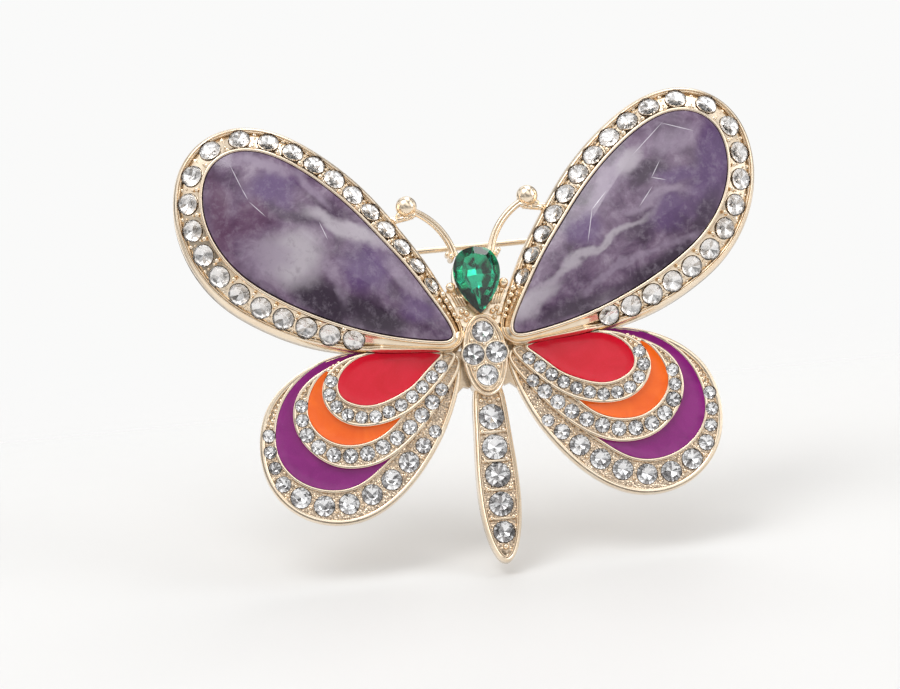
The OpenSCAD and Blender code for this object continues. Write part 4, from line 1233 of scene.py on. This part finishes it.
def floor_material():
    """Pale card that fades into the backdrop behind the brooch, and is clear when it is seen from below."""
    n = Finish("floor", Roughness=0.6)
    n.set(Base_Color=n.mix(n.span(n.noise(0.01, 3), 0, 1), (0.73, 0.725, 0.715), (0.77, 0.765, 0.755)))
    away = n.node("SeparateXYZ", {"Vector": n.mm}).outputs["Y"]
    fade = n.span(away, 0, 1, FADE_FROM, FADE_TO, "SMOOTHSTEP")
    below = n.node("NewGeometry").outputs["Backfacing"]
    gone = n.node("Math", {0: fade, 1: below}, operation="MAXIMUM").outputs[0]
    clear = n.node("BsdfTransparent").outputs["BSDF"]
    blend = n.node("MixShader", {0: gone, 1: n.shader.outputs["BSDF"], 2: clear}).outputs["Shader"]
    n.feed(n.tree.nodes["Material Output"].inputs["Surface"], blend)
    return n.material


def floor():
    mesh = bpy.data.meshes.new("floor")
    corners = [(-FLOOR_SIDE, FLOOR_NEAR, 0), (FLOOR_SIDE, FLOOR_NEAR, 0), (FLOOR_SIDE, FLOOR_FAR, 0),
               (-FLOOR_SIDE, FLOOR_FAR, 0)]
    mesh.from_pydata(corners, [], [(0, 1, 2, 3)])
    card = placed_mesh(mesh, [floor_material()], 0)
    card.location = (0, -(BACK_GAP + 1) * MM, cad_box[0].z - FLOOR_DROP * MM)
    card.rotation_euler = (FLOOR_TILT, 0, 0)


def room():
    """A pale room, brighter above, with a few darker patches for the metal and stones to mirror."""
    world = bpy.data.worlds.new("studio")
    bpy.context.scene.world = world
    world.use_nodes = True
    world.node_tree.nodes.clear()
    n = Tree(world.node_tree)
    around = n.node("TexCoord").outputs["Generated"]
    up = n.node("SeparateXYZ", {0: around}).outputs["Z"]
    height = n.ramp(n.span(up, 0, 1, -1, 1), [(0.0, 0.5), (0.42, 0.5), (0.5, 0.8), (0.7, 1.1), (1.0, 1.2)])
    patch = n.noise(2.6, 1.0, 0.4, vector=around)
    dark = n.ramp(patch, [(0.40, 0.24), (0.47, 0.80), (0.58, 1.0), (0.68, 1.6)])
    mirrored_room = n.node("Background", {"Color": n.mix(1, height, dark, "MULTIPLY"), "Strength": ROOM})
    pale = n.node("Background", {"Color": (0.955, 0.955, 0.95, 1)})
    seen = n.node("LightPath").outputs["Is Camera Ray"]
    mix = n.node("MixShader", {0: seen, 1: mirrored_room.outputs[0], 2: pale.outputs[0]}).outputs[0]
    n.node("OutputWorld", {"Surface": mix})


def softbox(name, at, size, power):
    """A soft lamp that faces the brooch's pin, where the frame's origin is."""
    light = bpy.data.lights.new(name, "AREA")
    light.shape, light.size, light.size_y = "RECTANGLE", *size
    light.energy = power
    lamp = bpy.data.objects.new(name, light)
    bpy.context.scene.collection.objects.link(lamp)
    lamp.location = at
    lamp.rotation_euler = (-Vector(at)).to_track_quat("-Z", "Y").to_euler()


def camera():
    """A long lens from a little below and left of the face's own normal, turned so that the brooch tips."""
    yaw, pitch, roll = math.radians(-4.5), math.radians(-9.8), math.radians(6.35)
    lens, sensor, frame_w = 150, 36, 99.6 * MM
    distance = lens / sensor * frame_w
    aim = Vector((-0.0037, -(BACK_GAP + 2.5) * MM, -0.0122))
    back = Vector((math.sin(yaw) * math.cos(pitch), -math.cos(yaw) * math.cos(pitch), math.sin(pitch)))
    data = bpy.data.cameras.new("camera")
    data.lens, data.sensor_width = lens, sensor
    data.clip_start, data.clip_end = 0.01, 10
    cam = bpy.data.objects.new("camera", data)
    bpy.context.scene.collection.objects.link(cam)
    cam.location = aim + back * distance
    cam.rotation_mode = "QUATERNION"
    tip = Matrix.Rotation(-roll, 3, "Z").to_quaternion()
    cam.rotation_quaternion = (-back).to_track_quat("-Z", "Y") @ tip
    bpy.context.scene.camera = cam


floor()
room()
softbox("key", (-0.20, -0.30, 0.42), (0.30, 0.26), 0.9)
softbox("fill", (0.42, -0.25, 0.10), (0.16, 0.30), 0.35)
softbox("top", (0.08, 0.02, 0.45), (0.3, 0.2), 0.5)
camera()
bpy.context.scene.view_settings.view_transform = "Standard"
